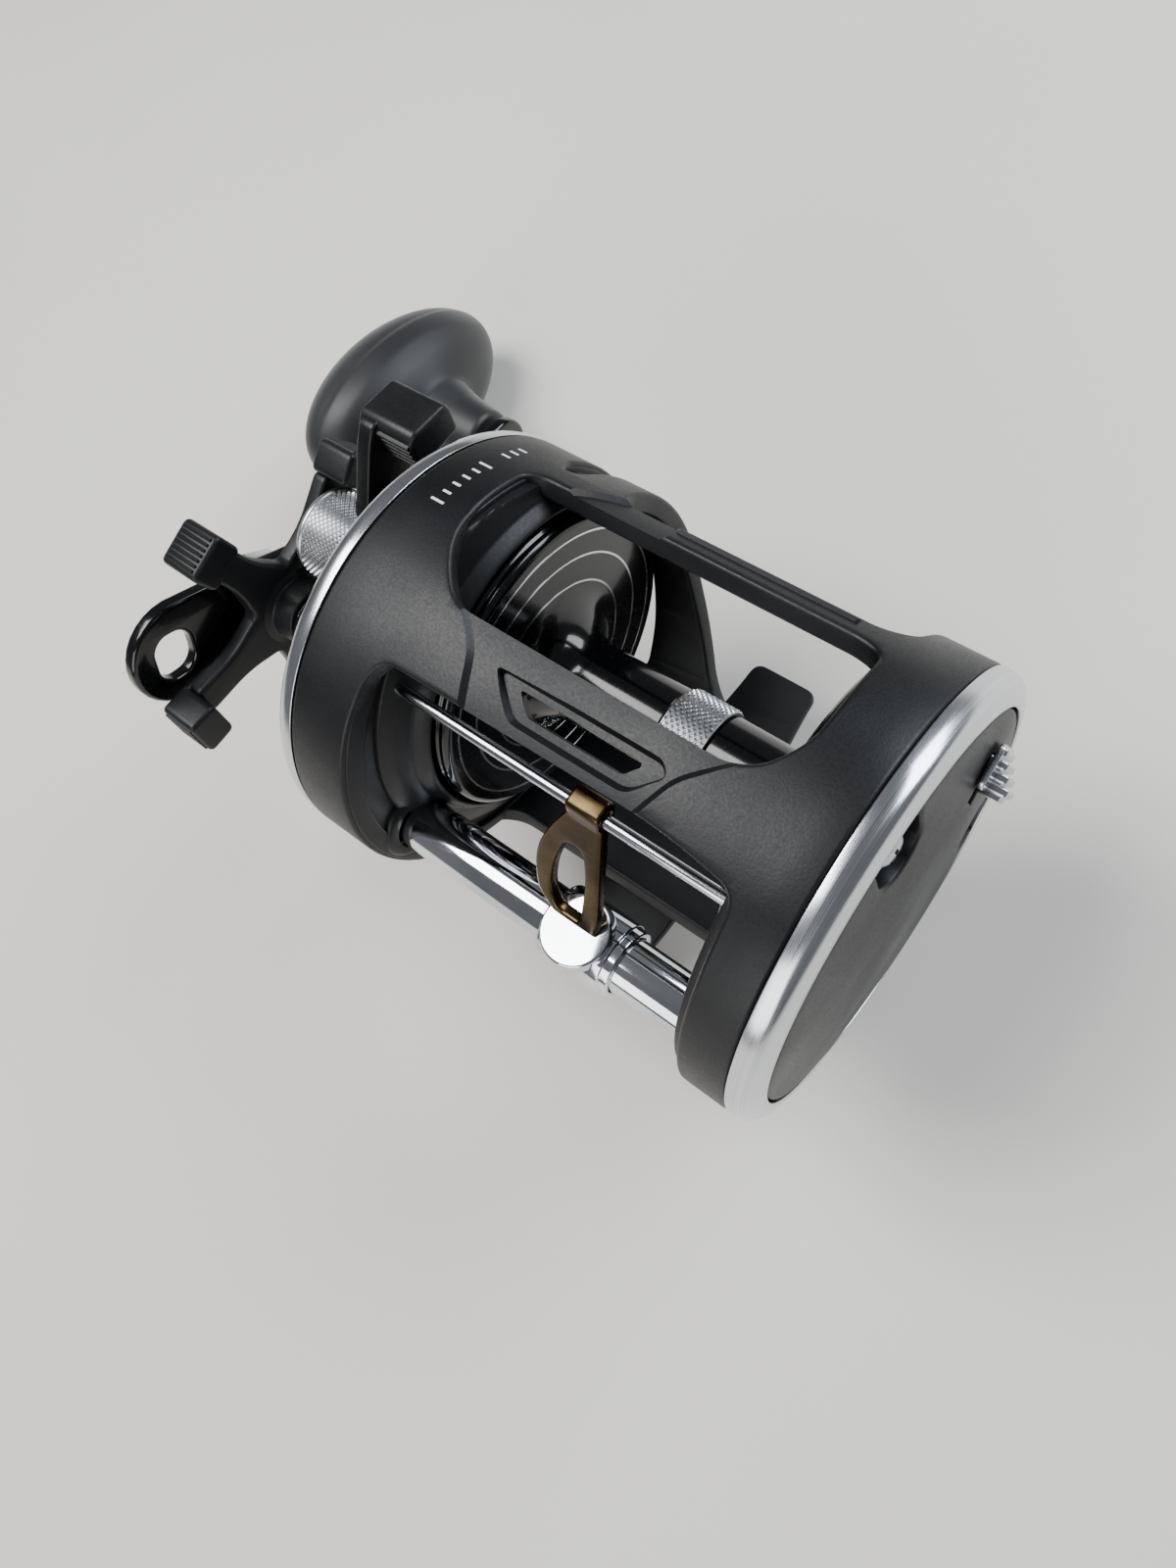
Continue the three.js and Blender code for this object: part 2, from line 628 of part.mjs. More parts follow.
add('left_cover', leftCover(), 'graphite');

// The clicker is drawn with its travel along its own first axis and then turned to its angle.
const clickTurn = toRadians(buttonAngle);
const clickRatchetX = leftBossEnd + 0.8;
const clickRatchetOuter = 4.9;

// The button is a pad with four rising ribs that stand across its travel.
function clickButton() {
  const base = coverEdge + 1.2;
  const out = buttonReach;
  const ribs = [[0, 1.4], [1.6, 2.4], [3.2, 3.3], [4.8, 4.1]];
  let button = block(base, base + 0.9, out - 3.4, out + 3.6, -5.6, 5.6);
  for (const [shift, height] of ribs) {
    const half = 5.2 - shift * 0.35;
    button = join(button,
      block(base + 0.5, base + height, out + 2.6 - shift, out + 3.4 - shift, -half, half),
      block(base + 0.5, base + height - 0.7, out + 1.6 - shift, out + 2.7 - shift, -half + 0.4,
        half - 0.4));
  }
  return join(button, block(tongueX[1] + touchGap, base + 0.5, out - 1.6, out + 1.6, -stemHalf,
    stemHalf));
}

add('clicker_button', clickButton(), 'silver', spoolY, 0, clickTurn);

// The tongue lies behind the cover; its peg points at the click ratchet.
function clickTongue() {
  const near = clickRatchetOuter + 0.5 + buttonTravel;
  const far = buttonReach + 2.4;
  const strip = plate(outline([[near, -0.5], [near + 2.4, -1.3], [far, -2.4], [far, 2.4],
    [near + 2.4, 1.3], [near, 0.5]]), ...tongueX);
  const peg = block(clickRatchetX, tongueX[0] + 0.3, near, near + 2, -0.5, 0.5);
  return join(strip, peg);
}

add('click_tongue', clickTongue(), 'brass', spoolY, 0, clickTurn);

// A flat hairpin that keeps the tongue pointed at the ratchet.
function clickSpring() {
  const x0 = tongueX[0] + 0.4;
  const x1 = x0 + 1;
  const bendReach = springPostReach - 1.2;
  const inner = 2.8;
  const outer = 3.5;
  const bend = cut(sleeve(x0, x1, inner, outer, pieceFacets, bendReach, 0),
    block(x0 - 1, x1 + 1, bendReach - 5, bendReach, -5, 5));
  const legs = [-1, 1].map((side) => block(x0, x1, buttonReach - 7, bendReach + 0.2,
    Math.min(side * inner, side * outer), Math.max(side * inner, side * outer)));
  return join(bend, ...legs);
}

add('click_spring', clickSpring(), 'steel', spoolY, 0, clickTurn);

// ---- Spool group ---------------------------------------------------------------------------

const bandStart = bandMiddleX - bandLength / 2;
const bandEnd = bandMiddleX + bandLength / 2;
const coreRadius = bandRadius - 1.5;

// The spool is one turning: two cupped flanges, a flared arbor and a seat for the knurled band.
function spoolBody() {
  const right = rightFlangeX;
  const left = leftFlangeX;
  const skirtEnd = right - flangeSkirt;
  const leftSkirtEnd = left + leftFlangeSkirt;
  const bore = shaftRadius + 0.05;
  return turned([
    [skirtEnd, flangeRadius - 1.6], [skirtEnd, flangeRadius], [right - 0.8, flangeRadius],
    [right, flangeRadius - 0.9], [right, arborRadius + 4.2], [right + 2.2, arborRadius + 1.6],
    [right + 6, arborRadius], [bandStart, arborRadius], [bandStart, coreRadius],
    [bandEnd, coreRadius], [bandEnd, arborRadius], [left - 4, arborRadius],
    [left, arborRadius + 4.2], [left, flangeRadius - 0.9], [left + 0.8, flangeRadius],
    [leftSkirtEnd, flangeRadius], [leftSkirtEnd, flangeRadius - 1.6],
    [left + flangeWall, flangeRadius - 1.6], [left + flangeWall, bore],
    [right - flangeWall, bore], [right - flangeWall, flangeRadius - 1.6],
  ], ringFacets);
}

add('spool', spoolBody(), 'glossBlack', spoolY, 0);
add('spool_knurled_band', sleeve(bandStart + touchGap, bandEnd - touchGap, coreRadius + touchGap,
  bandRadius, ringFacets), 'silver', spoolY, 0);

const shaftLeftEnd = clickRatchetX + 2.4;
const shaftRightEnd = capOuterX + 5.6;
const crossPinX = innerPlateBack - 1.2;

function spoolShaft() {
  const shaft = turned([
    [shaftRightEnd, 0], [shaftRightEnd, shaftRadius - 0.4], [shaftRightEnd + 0.4, shaftRadius],
    [shaftLeftEnd - 0.4, shaftRadius], [shaftLeftEnd, shaftRadius - 0.4], [shaftLeftEnd, 0],
  ], smallFacets);
  return join(shaft, block(crossPinX - 0.7, crossPinX + 0.7, -3, 3, -0.7, 0.7));
}

// The spool runs on its shaft with a pressed fit, shown as a gap of 0.05 mm.
add('spool_shaft', spoolShaft(), 'steel', spoolY, 0);

function clickRatchet() {
  const shape = gearOutline(14, 0.6, { boreRadius: shaftRadius + 0.05, backlash: 0.3 });
  return plate(shape, clickRatchetX, clickRatchetX + 1.6);
}

add('click_ratchet', clickRatchet(), 'brass', spoolY, 0);

function ballBearing(x0) {
  return sleeve(x0, x0 + bearingWidth, shaftRadius + turnGap, bearingRadius);
}

add('left_spool_bearing', ballBearing(leftWallX + plateWall + touchGap), 'steel', spoolY, 0);

// ---- Right side: inner plate and gear train ------------------------------------------------

const yokePostRight = -52;
const alongGear = toRadians(gearAxisAngle);
const yokePosts = [-1, 1].map((side) => [
  spoolY - 3 * Math.cos(alongGear) - side * 9 * Math.sin(alongGear),
  -3 * Math.sin(alongGear) + side * 9 * Math.cos(alongGear),
]);
const yokePostRadius = 1.2;
const dogY = gearY + 13 * Math.cos(toRadians(-62));
const dogZ = gearZ + 13 * Math.sin(toRadians(-62));
const dogX = [-38.5, -37.3];

function innerPlate() {
  const disc = rod(innerPlateBack, innerPlateX, ringBore - cutGap, ringFacets);
  const posts = yokePosts.map(([y, z]) => rod(yokePostRight, innerPlateX - 0.5, yokePostRadius,
    16, y, z));
  const idlerPost = rod(driveX[0], innerPlateX - 0.5, 1.2, smallFacets, idlerY, idlerZ);
  const dogPost = rod(-39, innerPlateX - 0.5, 1.2, smallFacets, dogY, dogZ);
  const body = join(disc, ...posts, idlerPost, dogPost);
  const holes = [
    rod(innerPlateBack - 1, innerPlateX + 1, 3.2, pieceFacets, spoolY, 0),
    rod(innerPlateBack - 1, innerPlateX + 1, windTubeRadius + cutGap, pieceFacets, windTubeY, windTubeZ),
    rod(innerPlateBack - 1, innerPlateX + 1, gearShaftRadius - 0.8 + turnGap, smallFacets, gearY, gearZ),
  ];
  return cut(body, ...holes);
}

add('inner_side_plate', innerPlate(), 'graphite');

const mainTurn = 0.02;
const toPinion = Math.atan2(-gearZ, spoolY - gearY);
const mainX = [-43.6, -39.6];
const dragRecessRadius = 10.4;
const dragRecessDepth = 2.7;

function mainGear() {
  const shape = gearOutline(mainTeeth, gearModule, { boreRadius: gearShaftRadius + 0.2,
    turn: mainTurn });
  const recess = rod(mainX[0] - 1, mainX[0] + dragRecessDepth, dragRecessRadius, pieceFacets);
  return cut(plate(shape, ...mainX), recess);
}

add('main_gear', mainGear(), 'bronze', gearY, gearZ);

function pinion() {
  const turn = meshedTurn(mainTeeth, mainTurn, pinionTeeth, toPinion);
  const teeth = plate(gearOutline(pinionTeeth, gearModule, { turn }), mainX[0] - 1.2,
    mainX[1] + 1.2);
  const body = turned([
    [-49.4, 0], [-49.4, 3.2], [-47.8, 3.2], [-47.8, 2.3], [-45.6, 2.3], [-45.6, 3.2],
    [mainX[0] - 1.1, 3.2], [mainX[0] - 1.1, 2.2], [crossPinX - 1.7, 2.2], [crossPinX - 1.7, 2.7],
    [crossPinX + 0.9, 2.7], [crossPinX + 0.9, 0],
  ], smallFacets);
  return cut(join(teeth, body), rod(-51, crossPinX + 2, shaftRadius + turnGap),
    block(crossPinX - 1, crossPinX + 2, -4, 4, -0.7 - turnGap, 0.7 + turnGap));
}

add('pinion', pinion(), 'brass', spoolY, 0);

const yokeX = [-47.5, -45.9];
const fingerAngle = THREE.MathUtils.radToDeg(Math.atan2(yokePosts[0][1] - leverPivotZ,
  yokePosts[0][0] - leverPivotY));
const fingerReach = 3.5;
const fingerX = -44.35;

// The yoke straddles the pinion's groove, slides on two posts, and has a finger over the cam.
function yoke() {
  const wings = yokePosts.map(([y, z]) => rod(...yokeX, 2.8, smallFacets, y, z));
  const [a, b] = yokePosts;
  const back = around(gearAxisAngle + 180, 6.2, spoolY, 0);
  const front = yokePosts.map(([y, z]) => [y + 2.6 * Math.cos(alongGear),
    z + 2.6 * Math.sin(alongGear)]);
  const web = plate(outline([front[0], front[1], b, back, a]), ...yokeX);
  const finger = radialBox(yokeX[0], yokeX[1], fingerReach - 0.5, 6.5, 0.5, fingerAngle,
    leverPivotY, leverPivotZ);
  const fingerTip = radialBox(yokeX[0] + 0.5, fingerX, fingerReach - 0.5, fingerReach + 0.5, 0.5,
    fingerAngle, leverPivotY, leverPivotZ);
  const holes = yokePosts.map(([y, z]) => rod(yokeX[0] - 1, yokeX[1] + 1,
    yokePostRadius + turnGap, smallFacets, y, z));
  const seat = rod(yokeX[0] - 1, yokeX[1] + 1, 2.3 + turnGap, smallFacets, spoolY, 0);
  const mouth = radialBox(yokeX[0] - 1, yokeX[1] + 1, 0, 12, 2.3 + turnGap, gearAxisAngle,
    spoolY, 0);
  return cut(join(web, ...wings, finger, fingerTip), ...holes, seat, mouth);
}

add('pinion_yoke', yoke(), 'nylon');

// A coil spring round a yoke post, seated on the yoke and clear of the cover by its travel.
class Coil extends THREE.Curve {
  constructor(x0, x1, radius, turns) {
    super();
    Object.assign(this, { x0, x1, radius, turns });
  }

  getPoint(t, target = new THREE.Vector3()) {
    const angle = 2 * Math.PI * this.turns * t;
    return target.set(this.x0 + (this.x1 - this.x0) * t, this.radius * Math.cos(angle),
      this.radius * Math.sin(angle));
  }
}

function roundSection(radius, sides) {
  const points = [];
  for (let i = 0; i < sides; i += 1) points.push(around(360 * i / sides, radius));
  return outline(points);
}

function coilSpring(x0, x1, radius, wire, turns) {
  const geometry = new THREE.ExtrudeGeometry(roundSection(wire, 4), {
    steps: turns * 9, extrudePath: new Coil(x0, x1, radius, turns), bevelEnabled: false,
  });
  return solid(geometry);
}

const yokeSpringEnd = yokePostRight + yokeTravel - 0.9;
yokePosts.forEach(([y, z], i) => {
  add(`yoke_spring_${i + 1}`, coilSpring(yokeSpringEnd, yokeX[0] - 0.5, 2.0, 0.25, 3), 'steel', y, z);
});

const driveTurn = 0.05;

add('wind_drive_gear', plate(gearOutline(windDriveTeeth, windModule, {
  boreRadius: gearShaftRadius + touchGap, turn: driveTurn }), ...driveX), 'nylon', gearY, gearZ);

const idlerTurn = meshedTurn(windDriveTeeth, driveTurn, idlerTeeth, idlerDirection);
add('wind_idler_gear', plate(gearOutline(idlerTeeth, windModule, {
  boreRadius: 1.2 + turnGap, turn: idlerTurn }), ...driveX), 'nylon', idlerY, idlerZ);

const toWorm = Math.atan2(windTubeZ - idlerZ, windTubeY - idlerY);
const wormTurn = meshedTurn(idlerTeeth, idlerTurn, wormTeeth, toWorm);
add('worm_gear', plate(gearOutline(wormTeeth, windModule, { boreRadius: 1.55, turn: wormTurn }),
  ...driveX), 'nylon', windTubeY, windTubeZ);

function ratchetWheel() {
  const teeth = 12;
  const points = [];
  for (let i = 0; i < teeth; i += 1) {
    points.push(around(360 * i / teeth, ratchetRadius));
    points.push(around(360 * i / teeth + 1, ratchetRadius - 1.3));
    points.push(around(360 * i / teeth + 16, ratchetRadius - 0.7));
  }
  const shape = outline(points);
  shape.holes.push(new THREE.Path().absarc(0, 0, gearShaftRadius + touchGap, 0, 2 * Math.PI, true));
  return plate(shape, ...dogX);
}

add('anti_reverse_ratchet', ratchetWheel(), 'steel', gearY, gearZ);

// The dog is shown lifted clear of the ratchet, as its friction clip holds it while winding.
function antiReverseDog() {
  const arm = outline([[-3.2, -1], [0.8, -2.5], [2.3, -0.2], [1.6, 2], [-0.6, 2.3],
    [-3.4, 2.4], [-6.4, 3.4], [-7.4, 2.9], [-7, 1.8]]);
  return cut(plate(arm, ...dogX), rod(dogX[0] - 1, dogX[1] + 1, 1.2 + turnGap, smallFacets));
}

add('anti_reverse_dog', antiReverseDog(), 'steel', dogY, dogZ);

function dogSpring() {
  const ring = sleeve(-36.9, -36.3, 1.45, 2.1, smallFacets);
  return join(ring, block(-36.9, -36.3, 1.6, 6.4, -0.4, 0.4));
}

add('dog_spring', dogSpring(), 'steel', dogY, dogZ);

function gearShaft() {
  const shaft = turned([
    [innerPlateX - 0.2, 0], [innerPlateX - 0.2, gearShaftRadius - 0.8],
    [innerPlateBack - 0.4, gearShaftRadius - 0.8], [innerPlateBack - 0.4, gearShaftRadius],
    [handleInnerX + touchGap, gearShaftRadius], [handleInnerX + touchGap, handleSeatRadius],
    [handleOuterX - 4.6, handleSeatRadius], [handleOuterX - 5, handleSeatRadius - 0.4],
    [handleOuterX - 5, 0],
  ], smallFacets);
  return shaft;
}

const handleOuterX = handleInnerX - handleThickness;
add('gear_shaft', gearShaft(), 'steel', gearY, gearZ);

// The drag stack fills the main gear's recess from the bottom outward.
const dragStack = [
  ['drag_washer_inner', 0.7, 'carbon'], ['drag_metal_washer', 0.6, 'steel'],
  ['drag_washer_outer', 0.7, 'carbon'], ['drag_pressure_washer', 1.4, 'steel'],
];
let stackX = mainX[0] + dragRecessDepth;
for (const [name, thickness, finish] of dragStack) {
  const next = stackX - thickness;
  add(name, sleeve(next + touchGap / 2, stackX - touchGap / 2, gearShaftRadius + 0.2,
    dragRecessRadius - cutGap, pieceFacets), finish, gearY, gearZ);
  stackX = next;
}

const sleeveEnd = -72.3;
add('drag_spacer_sleeve', sleeve(sleeveEnd, stackX - touchGap, gearShaftRadius + 0.2,
  sleeveRadius, pieceFacets), 'steel', gearY, gearZ);

function springWashers() {
  const inner = gearShaftRadius + 0.2;
  return turned([
    [sleeveEnd - 0.1, inner], [sleeveEnd - 0.7, sleeveRadius + 1], [sleeveEnd - 1.1, sleeveRadius + 1],
    [sleeveEnd - 1.7, inner],
  ], pieceFacets);
}

add('drag_spring_washer', springWashers(), 'steel', gearY, gearZ);

// ---- Right side: trim ring, cover and cast control -----------------------------------------

function rightTrim() {
  const ring = trimRing(rightRingEdge, -1, trimSection);
  const pockets = sideScrewPlaces.map(([y, z]) => join(
    rod(rightRingEdge - trimWidth - 1, rightRingEdge + 1, sideScrewRadius + turnGap, screwFacets, y, z),
    rod(rightRingEdge - trimWidth - 1, rightRingEdge - trimWidth + 2.1, sideScrewHead + turnGap, smallFacets,
      y, z)));
  return cut(ring, ...pockets);
}

add('right_trim_ring', rightTrim(), 'silver');

const coverTopX = -56;
const capBossX = -64.2;
const capBossRadius = 8.6;
const capNeckRadius = 6.2;
const gearBossX = -71.5;
const gearBossRadius = 9.8;
const handleBearingX = -63.4;
const leverBossX = -59.4;

function handleSideCover() {
  const rim = rightRingEdge - touchGap;
  const outer = [[rim, coverRadius], [rim - 4.2, coverRadius - 0.4], [rim - 8, coverRadius - 4],
    [rim - 11.6, coverRadius - 9], [coverTopX, coverRadius - 15], [coverTopX, 0]];
  const inner = [[coverTopX + coverWall, 0], [coverTopX + coverWall, coverRadius - 16],
    [rim - 10.2, coverRadius - 10.6], [rim - 6.8, coverRadius - 6],
    [rim - 3.4, coverRadius - 2.8], [rim, coverRadius - coverWall]];
  const shell = turned([...inner.reverse(), ...outer.reverse()].reverse(), ringFacets);
  const capBoss = turned([[coverTopX + coverWall - 3, 0], [coverTopX + coverWall - 3, capBossRadius],
    [capBossX + 0.8, capBossRadius], [capBossX, capBossRadius - 0.8], [capBossX, capNeckRadius],
    [capOuterX + 6.6, capNeckRadius], [capOuterX + 6.6, 0]], pieceFacets, spoolY, 0);
  const gearBoss = turned([[coverTopX + 1, 0], [coverTopX + 1, gearBossRadius + 1.4],
    [coverTopX - 2, gearBossRadius], [gearBossX + 0.8, gearBossRadius - 1.2],
    [gearBossX, gearBossRadius - 2], [gearBossX, 0]], pieceFacets, gearY, gearZ);
  const leverBoss = rod(leverBossX, coverTopX + coverWall - 1.6, leverBossRadius, smallFacets,
    leverPivotY, leverPivotZ);
  const capRoom = rod(gearBossX - 1, capBossX, capRadius + cutGap, pieceFacets, spoolY, 0);
  const body = join(shell, cut(gearBoss, capRoom), capBoss, leverBoss);
  return cut(body,
    rod(capOuterX, coverTopX + 20, shaftRadius + 0.6, smallFacets, spoolY, 0),
    rod(rightBearingX, coverTopX + 20, bearingRadius + turnGap, pieceFacets, spoolY, 0),
    rod(gearBossX - 2, coverTopX + 20, sleeveRadius + turnGap, pieceFacets, gearY, gearZ),
    rod(handleBearingX, coverTopX + 3, sleeveRadius + 2.6, pieceFacets, gearY, gearZ),
    rod(leverBossX - 1, coverTopX + 8, leverShaftRadius + turnGap, smallFacets, leverPivotY, leverPivotZ));
}

const rightBearingX = -60.6;
add('handle_side_cover', handleSideCover(), 'graphite');
add('right_spool_bearing', ballBearing(rightBearingX + touchGap), 'steel', spoolY, 0);
add('handle_shaft_bearing', sleeve(handleBearingX + touchGap, handleBearingX + 3.2,
  sleeveRadius + turnGap, sleeveRadius + 2.4), 'steel', gearY, gearZ);

function castControlCap() {
  const open = capOuterX + capLength;
  return turned([
    [capOuterX, 0], [capOuterX, capRadius - 1.8], [capOuterX + 0.6, capRadius - 0.7],
    [capOuterX + 1.8, capRadius], [open - 1.4, capRadius], [open, capRadius - 0.6],
    [open, capNeckRadius + turnGap], [capOuterX + 2.6, capNeckRadius + turnGap],
    [capOuterX + 2.6, 0],
  ], ringFacets);
}

add('cast_control_cap', castControlCap(), 'silver', spoolY, 0);
add('cast_control_disc', rod(capOuterX + 2.6 + touchGap, shaftRightEnd - touchGap, 5, pieceFacets), 'brass',
  spoolY, 0);

// ---- Free-spool lever ----------------------------------------------------------------------

const leverX = [leverBossX - touchGap - 3.2, leverBossX - touchGap];
const leverGripY = 23.6;
const leverGripZ = 22.8;

function freeSpoolLever() {
  const hub = rod(...leverX, 4.6, smallFacets, leverPivotY, leverPivotZ);
  const stalk = plate(outline([[leverPivotY - 3.4, leverPivotZ + 2.8], [leverGripY - 7.4, leverGripZ + 2],
    [leverGripY - 4.6, leverGripZ + 4.4], [leverGripY + 4.2, leverGripZ + 1.4],
    [leverGripY + 3.4, leverGripZ - 3.4], [leverPivotY + 4.2, leverPivotZ - 1.8]]), ...leverX);
  const grip = plate(outline([[leverGripY - 5.2, leverGripZ - 2.2], [leverGripY - 4.6, leverGripZ + 3.2],
    [leverGripY - 2.8, leverGripZ + 4.4], [leverGripY + 4.4, leverGripZ + 2.6],
    [leverGripY + 5, leverGripZ + 1.2], [leverGripY + 4.2, leverGripZ - 3.6]]), leverX[0] - 1.2,
    leverX[0] + 11);
  const shaft = rod(leverX[1] - 0.5, camX[1], leverShaftRadius, smallFacets, leverPivotY,
    leverPivotZ);
  return join(hub, stalk, grip, shaft);
}

const camX = [-43.6, -42.6];
const camRise = 2.6;
const camStart = fingerAngle + 5;
const camRamp = 34;
const camDwell = 12;
const camTrack = [2.6, 4.4];

// The cam's ramp lifts the yoke's finger as the lever is pushed to the rear.
function cam() {
  const disc = rod(...camX, camTrack[1] + 0.2, pieceFacets, leverPivotY, leverPivotZ);
  const place = [];
  const steps = 8;
  for (let i = 0; i <= steps; i += 1) {
    const angle = camStart + (camRamp + camDwell) * i / steps;
    const share = Math.min(1, (angle - camStart) / camRamp);
    for (const radius of camTrack) {
      const [y, z] = around(angle, radius, leverPivotY, leverPivotZ);
      place.push(camX[0] + 0.3, y, z, camX[0] - 0.02 - camRise * share, y, z);
    }
  }
  const faces = [];
  const quad = (a, b, c, d) => faces.push(a, b, c, a, c, d);
  for (let i = 0; i < steps; i += 1) {
    const a = 4 * i;
    const b = 4 * (i + 1);
    quad(a, b, b + 1, a + 1);
    quad(a + 2, a + 3, b + 3, b + 2);
    quad(a + 1, b + 1, b + 3, a + 3);
    quad(a, a + 2, b + 2, b);
  }
  quad(0, 1, 3, 2);
  const end = 4 * steps;
  quad(end, end + 2, end + 3, end + 1);
  const geometry = new THREE.BufferGeometry();
  geometry.setAttribute('position', new THREE.Float32BufferAttribute(place, 3));
  geometry.setIndex(faces);
  return cut(join(disc, solid(geometry)), rod(camX[0] - 5, camX[1] + 1, leverShaftRadius + turnGap,
    smallFacets, leverPivotY, leverPivotZ));
}

add('free_spool_lever', freeSpoolLever(), 'graphite');
add('eccentric_cam', cam(), 'steel');

// ---- Star drag and handle ------------------------------------------------------------------

const starHubX = [-83.2, sleeveEnd - 1.8];
const starArmX = [-82.6, capOuterX - 0.7];
const starTipInner = gearSpacing + capRadius + cutGap;

// A flat outline of [out, across] points, turned to an angle and made thick from x0 to x1.
function armPlate(points, angle, x0, x1) {
  const shape = new THREE.Shape(points.map(([a, b]) => new THREE.Vector2(a, b)));
  const geometry = new THREE.ExtrudeGeometry(shape, { depth: x1 - x0, bevelEnabled: false });
  geometry.rotateZ(toRadians(angle));
  geometry.applyMatrix4(flatToYZ);
  geometry.translate(x0, 0, 0);
  return solid(geometry);
}

// The arms pass outside the cast control cap and their tips bend back towards the reel.
function starWheel() {
  let star = turned([
    [starHubX[0], 0], [starHubX[0], 7], [starArmX[0], 8.6], [starArmX[1], 8.6],
    [starArmX[1] + 0.4, 6.4], [starHubX[1], 6], [starHubX[1], 0],
  ]);
  const near = starTipInner;
  const far = starTipRadius + 4.2;
  for (let i = 0; i < starArms; i += 1) {
    const angle = starTurn + 360 * i / starArms;
    const arm = armPlate([[5, -6.4], [9.6, -4.2], [14, -3.1], [near + 1, -3], [near + 1, 3],
      [14, 3.1], [9.6, 4.2], [5, 6.4]], angle, ...starArmX);
    const tip = armPlate([[near, -4.2], [far - 1.6, -4.4], [far, -2.8], [far, 2.8],
      [far - 1.6, 4.4], [near, 4.2]], angle, starArmX[0], starTipX + 4.3);
    star = join(star, arm, tip);
  }
  return cut(star, rod(starHubX[0] - 1, starHubX[1] + 1, gearShaftRadius + turnGap));
}

add('star_drag_wheel', starWheel(), 'graphite', gearY, gearZ);

const knobY = gearY + handleLength * Math.cos(toRadians(handleAngle));
const knobZ = gearZ + handleLength * Math.sin(toRadians(handleAngle));

// The arm lies along its own first axis before it is turned to the handle's direction.
function handleArm() {
  const arm = new THREE.Shape();
  arm.moveTo(-tailLength, -10.6);
  arm.quadraticCurveTo(-10, -10.6, -2, -8);
  arm.quadraticCurveTo(10, -6.6, 22, -5.6);
  arm.lineTo(handleLength - 6, -5.4);
  arm.absarc(handleLength, 0, 6.4, toRadians(-122), toRadians(122), false);
  arm.lineTo(handleLength - 6, 5.4);
  arm.lineTo(22, 5.6);
  arm.quadraticCurveTo(10, 6.6, -2, 8);
  arm.quadraticCurveTo(-10, 10.6, -tailLength, 10.6);
  arm.absarc(-tailLength, 0, 10.6, toRadians(90), toRadians(270), false);
  const slot = new THREE.Path();
  slot.absellipse(-tailLength - 1.6, 0, 3.8, 5, 0, 2 * Math.PI, true);
  arm.holes.push(slot);
  arm.holes.push(new THREE.Path().absarc(0, 0, handleSeatRadius + touchGap, 0, 2 * Math.PI, true));
  arm.holes.push(new THREE.Path().absarc(handleLength, 0, 2.6, 0, 2 * Math.PI, true));
  const geometry = new THREE.ExtrudeGeometry(arm, {
    depth: handleThickness, bevelEnabled: false, curveSegments: 6,
  });
  geometry.rotateZ(toRadians(handleAngle));
  geometry.applyMatrix4(flatToYZ);
  geometry.translate(handleOuterX, 0, 0);
  return solid(geometry);
}

add('handle_arm', handleArm(), 'glossBlack', gearY, gearZ);

function handleNut() {
  const hexagon = [];
  for (let i = 0; i < 6; i += 1) hexagon.push(around(60 * i + 12, 6.6));
  const nut = plate(outline(hexagon), handleOuterX - 4.4, handleOuterX - touchGap);
  return cut(nut, rod(handleOuterX - 6, handleOuterX + 1, handleSeatRadius + touchGap, smallFacets));
}

add('handle_nut', handleNut(), 'silver', gearY, gearZ);

const knobPostEnd = knobMiddleX + 2;

function knobPost() {
  return turned([
    [handleInnerX + 1.4, 0], [handleInnerX + 1.4, 4], [handleInnerX + touchGap, 4.2],
    [handleInnerX + touchGap, 2.5], [handleOuterX - 0.2, 2.5], [handleOuterX - 0.2, 3.6],
    [handleOuterX - 1.4, 3.6], [handleOuterX - 1.4, 2.4], [knobPostEnd, 2.4], [knobPostEnd, 3.4],
    [knobPostEnd - 1.2, 3.4], [knobPostEnd - 1.2, 0],
  ], smallFacets);
}

add('knob_post', knobPost(), 'steel', knobY, knobZ);

// The knob is a tapered neck that grows into a long egg across its post.
function knob() {
  const neck = turned([
    [handleOuterX - 1.8, 0], [handleOuterX - 1.8, 6.4], [-98, 7.6], [-104, 9.4], [-110, 12.6],
    [-114, 12.6], [-114, 0],
  ], pieceFacets);
  const egg = new THREE.SphereGeometry(1, pieceFacets, screwFacets);
  egg.scale(14, 28.5, 16.5);
  egg.rotateX(toRadians(-20));
  egg.translate(knobMiddleX, 0, 0);
  const bore = rod(knobPostEnd - 0.4, handleOuterX, 2.4 + turnGap, smallFacets);
  const head = rod(knobPostEnd - 2, knobPostEnd + 0.6, 3.4 + turnGap, smallFacets);
  return cut(join(neck, solid(egg)), bore, head);
}

add('handle_knob', knob(), 'rubber', knobY, knobZ);

// ---- Level wind ----------------------------------------------------------------------------

const windTubeLeft = leftWallX + plateWall - 0.2;
const windTubeRight = innerPlateBack + 0.2;

function windTube() {
  const tube = sleeve(windTubeRight, windTubeLeft, windTubeRadius - windTubeWall, windTubeRadius,
    pieceFacets);
  const slot = block(rightWallX + 3, leftWallX - 3, -windSlotWidth / 2, windSlotWidth / 2,
    -windTubeRadius - 1, 0);
  return cut(tube, slot);
}

add('level_wind_tube', windTube(), 'chrome', windTubeY, windTubeZ);

function wormShaft() {
  return turned([
    [driveX[0] - 1.2, 0], [driveX[0] - 1.2, 1.5], [windTubeRight - 0.1, 1.5],
    [windTubeRight - 0.1, wormJournal], [rightWallX + 1.4, wormJournal], [rightWallX + 1.4, wormRadius],
    [leftWallX - 1.4, wormRadius], [leftWallX - 1.4, wormJournal], [windTubeLeft - 0.2, wormJournal],
    [windTubeLeft - 0.2, 0],
  ], pieceFacets);
}

